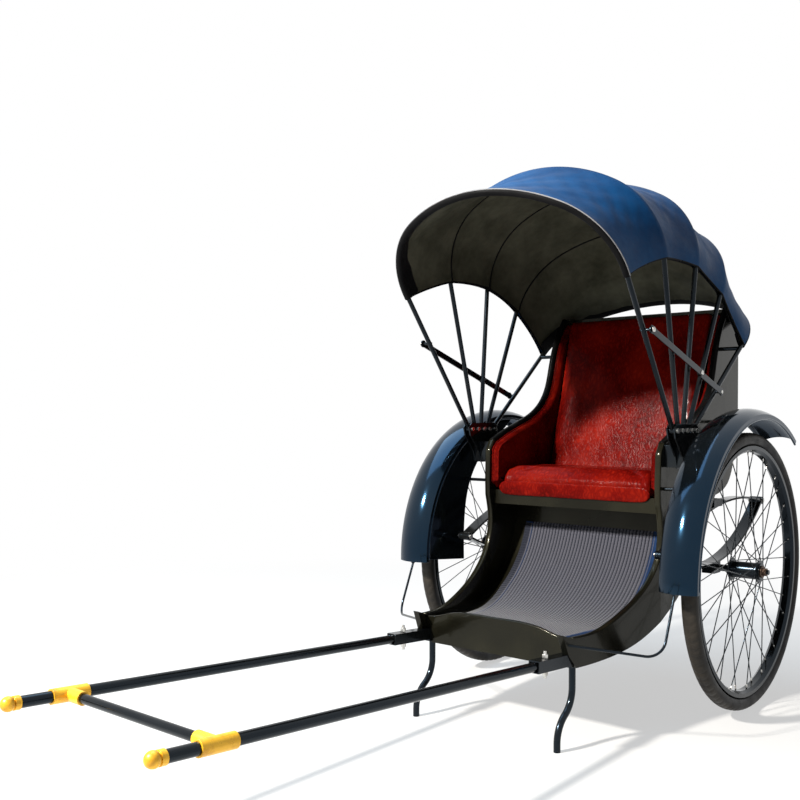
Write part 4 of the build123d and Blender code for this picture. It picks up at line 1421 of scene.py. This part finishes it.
    def stay_bolts(self) -> None:
        """Bright bolt heads on the stays' pins and knees."""
        first, along_first, _ = self.plane(0)
        last, along_last, _ = self.plane(4)
        front = first + along_first * self.stay_front_at
        rear = last + along_last * self.stay_rear_at
        knee = front + (rear - front) * self.stay_share
        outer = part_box("stay_front")[1].x
        bow_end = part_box("hood_bow_1")[1].x
        self.bolt_pair("stay_front_bolts", front, bow_end, "bow_1", *self.bolt_size)
        self.bolt_pair("stay_knee_bolts", knee, outer, "stay_front", *self.bolt_size)
        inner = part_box("hood_bow_5")[1].x
        self.bolt_pair("stay_rear_bolts", rear, inner, "carriage", *self.rear_bolt_size)

    def bolt_pair(self, name: str, at: Array, x: float, body: str, radius: float, height: float) -> None:
        """One bolt head on each side, facing outwards.

        Args:
            name: the piece's name.
            at: the pin's place, of which Y and Z are used.
            x: how far out the heads' seats are.
            body: the body that they move with.
            radius: a head's radius.
            height: a head's height.
        """
        places = np.array([[x, at[1], at[2]], [-x, at[1], at[2]]])
        facing = np.array([[1.0, 0, 0], [-1.0, 0, 0]])
        piece = heads_object(name, places, facing, radius, height, self.finishes.steel)
        settle(piece, body)


@dataclass
class Seat:
    """Red leather seat: stuffed cushion, back, arm pads and their piping."""

    finishes: Finishes
    axle_y: float = 0.760
    seat_height: float = 0.614
    arm_line: Line = (
        (-0.230, 0.764), (-0.165, 0.791), (-0.046, 0.830), (0.050, 0.880), (0.095, 0.935),
        (0.121, 1.009), (0.146, 1.083), (0.184, 1.145), (0.203, 1.170),
    )
    back_foot: float = 0.062
    back_lean: float = 0.2667
    piping_radius: float = 0.0028
    flap_drop: float = 0.024
    flap_half: tuple[float, float] = (0.0032, 0.022)
    cushion_swell: float = 0.007
    back_swell: float = 0.006
    pad_rest: float = 0.004
    pleat_pitch: float = 0.012
    pleat_depth: float = 0.0024

    def build(self) -> None:
        """Builds the cushion, its flap, the back and both arms."""
        self.seat_cushion()
        self.seat_flap()
        self.back_pad()
        for side in Side:
            self.arm_pad(side)

    def row(self, points: list[tuple[float, float]] | Line) -> Array:
        """Side profile points moved from the axle to the row frame."""
        return np.asarray(points, float) + (self.axle_y, 0.0)

    def pad_form(self, name: str, profile: Array, half_width: float, end_round: float) -> Piece:
        """Closed pad form: a side profile carried across, drawn in to its middle at both ends.

        Args:
            name: the piece's name.
            profile: the profile's corners, as Y and Z.
            half_width: half the pad's width.
            end_round: how far the ends are drawn in.

        Returns:
            The form.
        """
        outline = even(np.concatenate([profile, profile[:1]]), 121)[:-1]
        middle = profile.mean(axis=0)
        inner = half_width - end_round
        end = half_width - end_round * (1 - np.cos(np.linspace(np.pi / 2, 0, 6)))
        x = np.concatenate([-end[::-1], np.linspace(-inner, inner, 24)[1:-1], end])
        depth = np.clip((np.abs(x) - inner) / end_round, 0, 1)
        draw = end_round * (1 - np.sqrt(np.maximum(0, 1 - depth**2)))
        toward = middle - outline
        reach = np.linalg.norm(toward, axis=1, keepdims=True)
        flat = outline[None] + draw[:, None, None] * (toward / reach)[None]
        grid = np.concatenate([np.broadcast_to(x[:, None, None], (*flat.shape[:2], 1)), flat], axis=2)
        return tube_object(name, grid, self.finishes.leather)

    def seat_cushion(self) -> None:
        """Box cushion with a rounded front roll, stuffed by simulation and held where it rests."""
        low, high = (np.array(corner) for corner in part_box("seat_cushion"))
        swell = self.cushion_swell
        front, back = low[1] + swell, high[1] - 0.002
        top, foot = high[2] - swell, low[2] + 0.0005
        profile = np.array([
            (front + 0.004, foot), (front, foot + 0.03), (front + 0.005, top - 0.022),
            (front + 0.02, top - 0.005), (front + 0.05, top), (back - 0.07, top - 0.001),
            (back, top - 0.008), (back - 0.02, foot),
        ])
        piece = self.pad_form("seat_pad", profile, high[0] - swell, 0.016)
        held = np.array([low - 1, (high[0] + 1, high[1] + 1, foot + self.pad_rest)])
        cushion(piece, 0.0055, 0.0075, held)
        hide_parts("seat_cushion")
        settle(piece, "carriage")

    def seat_flap(self) -> None:
        """Leather flap below the cushion: a squared oval swept across the rail, narrowing at its ends.

        The path's height wanders by the product of two sines.
        """
        low, high = (np.array(corner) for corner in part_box("seat_cushion"))
        x = np.linspace(low[0] + 0.004, high[0] - 0.004, 60)
        rail_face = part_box("seat_rail")[0].y
        hang = self.flap_drop + 0.0012 * np.sin(23.0 * x) * np.sin(61.0 * x)
        path = np.column_stack([x, np.full(60, rail_face - 0.0038), low[2] + 0.020 - hang / 2])
        grid = sweep(path, oval(*self.flap_half, 24, 0.75), (0, 1.0, 0))
        taper = np.maximum((1 - np.abs(x / x.max()) ** 24) ** 0.5, 0.3)
        grid[..., 2] = path[:, 2:] + (grid[..., 2] - path[:, 2:]) * taper[:, None]
        flap = tube_object("seat_flap", grid, self.finishes.leather)
        settle(flap, "carriage")

    def back_pad(self) -> None:
        """Leaning back pad, stuffed by simulation and held along the back board."""
        low, high = (np.array(corner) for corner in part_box("back_pad"))
        swell = self.back_swell
        profile = self.row([
            (0.036, 0.690), (0.101, 0.926), (0.167, 1.168 - swell), (0.178, 1.186 - swell),
            (0.197, 1.186 - swell), (0.206, 1.168), (0.058, 0.6155), (0.024, 0.6155), (0.020, 0.640),
        ])
        profile[:3, 0] += swell
        piece = self.pad_form("back_rest", profile, high[0] - swell, 0.012)
        held = np.array([low - 1, (high[0] + 1, high[1] + 1, low[2] + self.pad_rest)])
        cushion(piece, 0.0065, 0.0065, held, 3.0)
        place = coordinates(piece.data)
        board = self.axle_y + self.back_foot + self.back_lean * (place[:, 2] - self.seat_height) - 0.0015
        place[:, 1] = np.minimum(place[:, 1], board)
        piece.data.vertices.foreach_set("co", place.astype(np.float32).ravel())
        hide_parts("back_pad")
        settle(piece, "carriage")

    def arm_pad(self, side: Side) -> None:
        """Arm pad: a thin stuffed panel whose edge rolls over as a quarter ellipse, pleated in front.

        Rings run inwards from the outline: each is the outline moved inwards by the roll's depth
        times one minus a cosine, while X goes from the panel to the pad's face by the sine.

        Args:
            side: the arm's side.
        """
        low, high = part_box(f"arm_pad_{side.word}")
        wall, face = (high.x, low.x) if side is Side.LEFT else (low.x, high.x)
        loop = self.arm_loop()
        inward = self.loop_inward(loop)
        turn = np.linspace(0, np.pi / 2, 14)
        roll = np.interp(loop[:, 1], (1.04, 1.145, 1.17), (0.018, 0.007, 0.002))
        front = smooth(self.axle_y - loop[:, 0], 0.235, 0.25) * smooth(loop[:, 1], 0.62, 0.65)
        pleat = self.pleat_depth * np.cos(loop[:, 1] * 2 * np.pi / self.pleat_pitch) * front
        inset = roll[None] * (1 - np.cos(turn))[:, None] + pleat[None] * np.sin(2 * turn)[:, None]
        inset = np.concatenate([inset, 1.15 * roll[None]])
        flat = loop[None] + inset[:, :, None] * inward[None]
        x = wall + (face - wall) * np.append(np.sin(turn), 1.0)
        rings = np.concatenate([np.broadcast_to(x[:, None, None], (*flat.shape[:2], 1)), flat], axis=2)
        self.finish_arm(side, rings)

    def arm_loop(self) -> Array:
        """Closed outline of an arm pad: up the front, along the arm, down the back, along the seat.

        Returns:
            The outline's points, as Y and Z.
        """
        front_corner, back_corner = (-0.218, 0.6145), (0.0605, 0.6145)
        first, last = self.arm_line[0], self.arm_line[-1]
        top = spline(self.row(self.arm_line), 100)
        front = even(self.row([front_corner, (-0.2535, 0.640), (-0.2505, 0.742), first]), 36)[:-1]
        back = even(self.row([last, (0.2085, 1.170), back_corner]), 60)[1:]
        seat = even(self.row([back_corner, front_corner]), 40)[1:-1]
        return np.concatenate([front, top, back, seat])

    def loop_inward(self, loop: Array) -> Array:
        """Inward normals of a closed outline that runs clockwise seen along minus X."""
        along = unit(np.roll(loop, -2, axis=0) - np.roll(loop, 2, axis=0))
        return np.stack([along[:, 1], -along[:, 0]], axis=1)

    def finish_arm(self, side: Side, rings: Array) -> None:
        """Closes the arm pad's face and back and lays piping along its front and top.

        Args:
            side: the arm's side.
            rings: the pad's rings, from the panel to the face.
        """
        index = np.arange(rings.shape[0] * rings.shape[1]).reshape(rings.shape[:2])
        faces = quads(np.concatenate([index, index[:, :1]], axis=1)).tolist()
        faces += [index[0].tolist(), index[-1].tolist()]
        piece = mesh_object(f"arm_rest_{side.word}", rings, faces, self.finishes.leather)
        triangulate(piece)
        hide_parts(f"arm_pad_{side.word}")
        settle(piece, "carriage")
        for word, path in (("outer", rings[1, 8:133]), ("inner", rings[9, 8:42])):
            tube = sweep(path, circle(self.piping_radius, 10), (1.0, 0, 0))
            cord = tube_object(f"arm_piping_{word}_{side.word}", tube, self.finishes.leather)
            settle(cord, "carriage")


def triangulate(piece: Piece) -> None:
    """Cuts a piece's many-sided faces into triangles.

    Args:
        piece: the piece.
    """
    work = bmesh.new()
    work.from_mesh(piece.data)
    many = [face for face in work.faces if len(face.verts) > 4]
    bmesh.ops.triangulate(work, faces=many)
    work.to_mesh(piece.data)
    work.free()


@dataclass
class Body:
    """Trim of the body: ribbed carpet, beads on the panels' edges, dash trim and fender edges."""

    finishes: Finishes
    axle_y: float = 0.760
    floor_centre: tuple[float, float] = (-0.436, 0.590)
    floor_radius: float = 0.332
    carpet_front: float = -0.629
    carpet_top: float = 0.505
    panel_x: float = 0.300
    panel_front_x: float = 0.244
    panel_bend: float = -0.260
    panel_front: float = -0.689
    panel_thickness: float = 0.018
    mat_inset: float = 0.044
    rib_pitch: float = 0.0110
    rib_height: float = 0.0022
    rib_take_up: float = 1.35
    area_limit: float = 1.3
    length_slack: float = 1.001
    dash_y: float = -0.637
    arm_bead: tuple[float, float] = (0.0098, 0.0085)
    scroll_bead: tuple[float, float] = (0.0092, 0.004)
    dash_bead: tuple[float, float] = (0.0066, 0.0028)
    fender_bead: float = 0.0032
    fender_lip: float = 0.030
    arm_line: Line = (
        (-0.240, 0.771), (-0.167, 0.800), (-0.050, 0.839), (0.042, 0.887), (0.086, 0.939),
        (0.112, 1.009), (0.137, 1.083), (0.178, 1.153), (0.204, 1.186),
    )
    scroll_line: Line = (
        (-0.645, 0.281), (-0.544, 0.283), (-0.458, 0.306), (-0.335, 0.366), (-0.268, 0.437), (-0.247, 0.515),
        (-0.262, 0.600),
    )
    dash_line: Line = (
        (0.260, 0.275), (0.205, 0.277), (0.155, 0.290), (0.0, 0.299), (-0.155, 0.290), (-0.205, 0.277),
        (-0.260, 0.275),
    )

    def build(self) -> None:
        """Builds the carpet and the trim."""
        self.carpet()
        for side in Side:
            self.panel_bead(side)
            self.fender_beads(side)
        self.dash_trim()

    def panel_face(self, y: Array) -> Array:
        """X of the side panel's outer face at distances behind the axle."""
        share = np.maximum(0, (self.panel_bend - y) / (self.panel_bend - self.panel_front))
        return self.panel_x - share * (self.panel_x - self.panel_front_x)

    def floor_path(self, radius: float, count: int) -> Array:
        """Line over the floor: straight from the front, then a quarter arc up to the carpet's end.

        Args:
            radius: the arc's radius.
            count: how many points to return.

        Returns:
            The line's points, as distance behind the axle and height.
        """
        y, z = self.floor_centre
        stop = math.asin((self.carpet_top - z) / radius)
        angle = np.linspace(-np.pi / 2, stop, 80)
        arc = np.stack([y + radius * np.cos(angle), z + radius * np.sin(angle)], axis=1)
        return even(np.concatenate([[(self.carpet_front, z - radius)], arc]), count)

    def carpet(self) -> None:
        """Carpet: the floor's line carried across, its ribs a rounded wave, with plain bound sides."""
        path = self.floor_path(self.floor_radius - 0.0026, 90)
        aim = unit(np.gradient(path, axis=0))
        up = np.stack([-aim[:, 1], aim[:, 0]], axis=1)
        half = self.panel_face(path[:, 0]) - self.panel_thickness - self.mat_inset
        ribs = int(2 * half.max() / self.rib_pitch)
        share = np.linspace(-1, 1, 12 * ribs + 1)
        wave = smooth(np.cos(np.pi * ribs * (share + 1)), -0.55, 0.75)
        bound = smooth(np.abs(share), 0.905, 0.912)
        height = self.rib_height * (wave * (1 - bound) + 0.9 * bound)
        ends = smooth(np.linspace(0, 1, len(path)), 0, 0.012) * smooth(np.linspace(1, 0, len(path)), 0, 0.012)
        grid = self.carpet_grid(path, up, half, share, height[None] * ends[:, None])
        piece = shell_object("ribbed_mat", grid, -0.0018, self.finishes.carpet)
        rib = np.broadcast_to((wave * (1 - bound))[None], grid.shape[:2]).ravel()
        set_value(piece, "rib", np.concatenate([rib, rib]))
        length = float(np.linalg.norm(np.diff(path, axis=0), axis=1).sum()) * self.length_slack
        trims = [self.carpet_binding(path, up, half, side) for side in Side]
        plain = surface_area(self.carpet_grid(path, up, half, share, np.zeros(grid.shape[:2])))
        area = min(surface_area(grid), plain * self.area_limit)
        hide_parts("carpet")
        settle(piece, "carriage")

    def carpet_grid(self, path: Array, up: Array, half: Array, share: Array, height: Array) -> Array:
        """Grid over the floor, raised by heights along the floor's normal.

        Args:
            path: the floor's line.
            up: the floor's normals along it.
            half: half the carpet's width along it.
            share: places across, from -1 to 1.
            height: heights, path by places across.

        Returns:
            The grid's points.
        """
        x = half[:, None] * share[None]
        y = self.axle_y + path[:, :1] + up[:, :1] * height
        z = path[:, 1:] + up[:, 1:] * height
        return np.stack([x, y, z], axis=2)

    def carpet_binding(self, path: Array, up: Array, half: Array, side: Side) -> Piece:
        """Plain woven band sewn along one side of the carpet, a little proud of the ribs.

        Its height over the floor is the ribs' plus the square root of a half sine across it.

        Args:
            path: the floor's line.
            up: the floor's normals along it.
            half: half the carpet's width along it.
            side: the carpet's side.

        Returns:
            The band.
        """
        share = np.linspace(0.885, 0.999, 9) * side.value
        crown = 0.0008 * np.sin(np.linspace(0, np.pi, 9)) ** 0.5
        height = np.broadcast_to(self.rib_height + 0.0003 + crown, (len(path), 9))
        grid = self.carpet_grid(path, up, half, share, height)
        piece = shell_object(f"mat_binding_{side.word}", grid, -0.0008, self.finishes.carpet_edge)
        return settle(piece, "carriage")

    def panel_bead(self, side: Side) -> None:
        """Rounded beads along a side panel's edge: black leather on the arm, lacquer on the scroll.

        Each is an oval swept along a spline through its line's points.

        Args:
            side: the panel's side.
        """
        middle = self.panel_x - self.panel_thickness / 2
        arm = spline(self.arm_line, 100)
        x = np.full(len(arm), side.value * middle)
        path = np.stack([x, self.axle_y + arm[:, 0], arm[:, 1] - 0.002], axis=1)
        roll = sweep(path, oval(*self.arm_bead, 16), (1.0, 0, 0))
        bead = tube_object(f"arm_bead_{side.word}", roll, self.finishes.trim_leather)
        settle(bead, "carriage")
        scroll = spline(self.scroll_line, 100)
        neck_line = [self.scroll_line[-1], (-0.264, 0.650), (-0.260, 0.740), self.arm_line[0]]
        neck = even(np.array(neck_line), 30)[1:]
        line = np.concatenate([scroll, neck])
        x = side.value * (self.panel_face(line[:, 0]) - self.panel_thickness / 2)
        path = np.stack([x, self.axle_y + line[:, 0], line[:, 1]], axis=1)
        roll = sweep(path, oval(*self.scroll_bead, 16, 0.8), (1.0, 0, 0))
        bead = tube_object(f"scroll_bead_{side.word}", roll, self.finishes.lacquer)
        settle(bead, "carriage")

    def dash_trim(self) -> None:
        """Thin bead along the dash board's wavy top: a squared oval swept along a spline."""
        line = spline(self.dash_line, 140)
        inside = np.abs(line[:, 0]) < float(self.panel_face(np.array(self.dash_y))) - self.panel_thickness
        line = line[inside]
        path = np.stack([line[:, 0], np.full(len(line), self.axle_y + self.dash_y), line[:, 1]], axis=1)
        roll = sweep(path, oval(*self.dash_bead, 14, 0.8), (0, 1.0, 0))
        bead = tube_object("dash_bead", roll, self.finishes.lacquer)
        settle(bead, "carriage")

    def fender_beads(self, side: Side) -> None:
        """Rolled edge round a fender: a thin wire bead along each lower edge of its lips.

        Each is a circle swept along an arc about the axle.

        Args:
            side: the fender's side.
        """
        low, high = (np.array(corner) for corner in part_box(f"fender_{side.word}"))
        tyre_low, tyre_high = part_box(f"tyre_{side.word}")
        centre_y, centre_z = (tyre_low.y + tyre_high.y) / 2, (tyre_low.z + tyre_high.z) / 2
        edge = high[2] - centre_z - self.fender_lip
        angle = np.radians(np.linspace(55, 180, 140))
        arc = np.stack([centre_y + edge * np.cos(angle), centre_z + edge * np.sin(angle)], axis=1)
        lips = {"outer": high[0] - 0.0015, "inner": low[0] + 0.0015}
        if side is Side.RIGHT:
            lips = {"outer": low[0] + 0.0015, "inner": high[0] - 0.0015}
        for word, x in lips.items():
            ring = np.column_stack([np.full(140, x), arc])
            wire = sweep(ring, circle(self.fender_bead, 10), (1.0, 0, 0))
            bead = tube_object(f"fender_bead_{word}_{side.word}", wire, self.finishes.fender_enamel)
            settle(bead, "carriage")


def dress_nodes(frame: dict, finishes: Finishes) -> None:
    """Gives every CAD node the finish of its record slot, with a few named exceptions.

    Args:
        finishes: the finishes.
    """
    special = {"axle_nuts": finishes.worn_steel}
    special |= {f"hood_bow_{number}": finishes.bow_paint for number in range(1, 6)}
    special |= {f"fender_{side.word}": finishes.fender_enamel for side in Side}
    slots = {part["node"]: part["material_slot"] for part in frame["record"]["subparts"]}
    for name, node in frame["nodes"].items():
        finish = special.get(name) or finishes.for_slot(slots[name])
        for slot in node.material_slots:
            slot.link = "OBJECT"
            slot.material = finish


def main() -> None:
    """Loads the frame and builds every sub-assembly in order."""
    logging.basicConfig(level=logging.INFO, format="%(name)s: %(message)s")
    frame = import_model()
    finishes = Finishes()
    dress_nodes(frame, finishes)
    for side in Side:
        Wheel(side, finishes).build()
    Hood(finishes).build()
    Seat(finishes).build()
    Body(finishes).build()
    Stage().build()


if __name__ == "__main__":
    main()
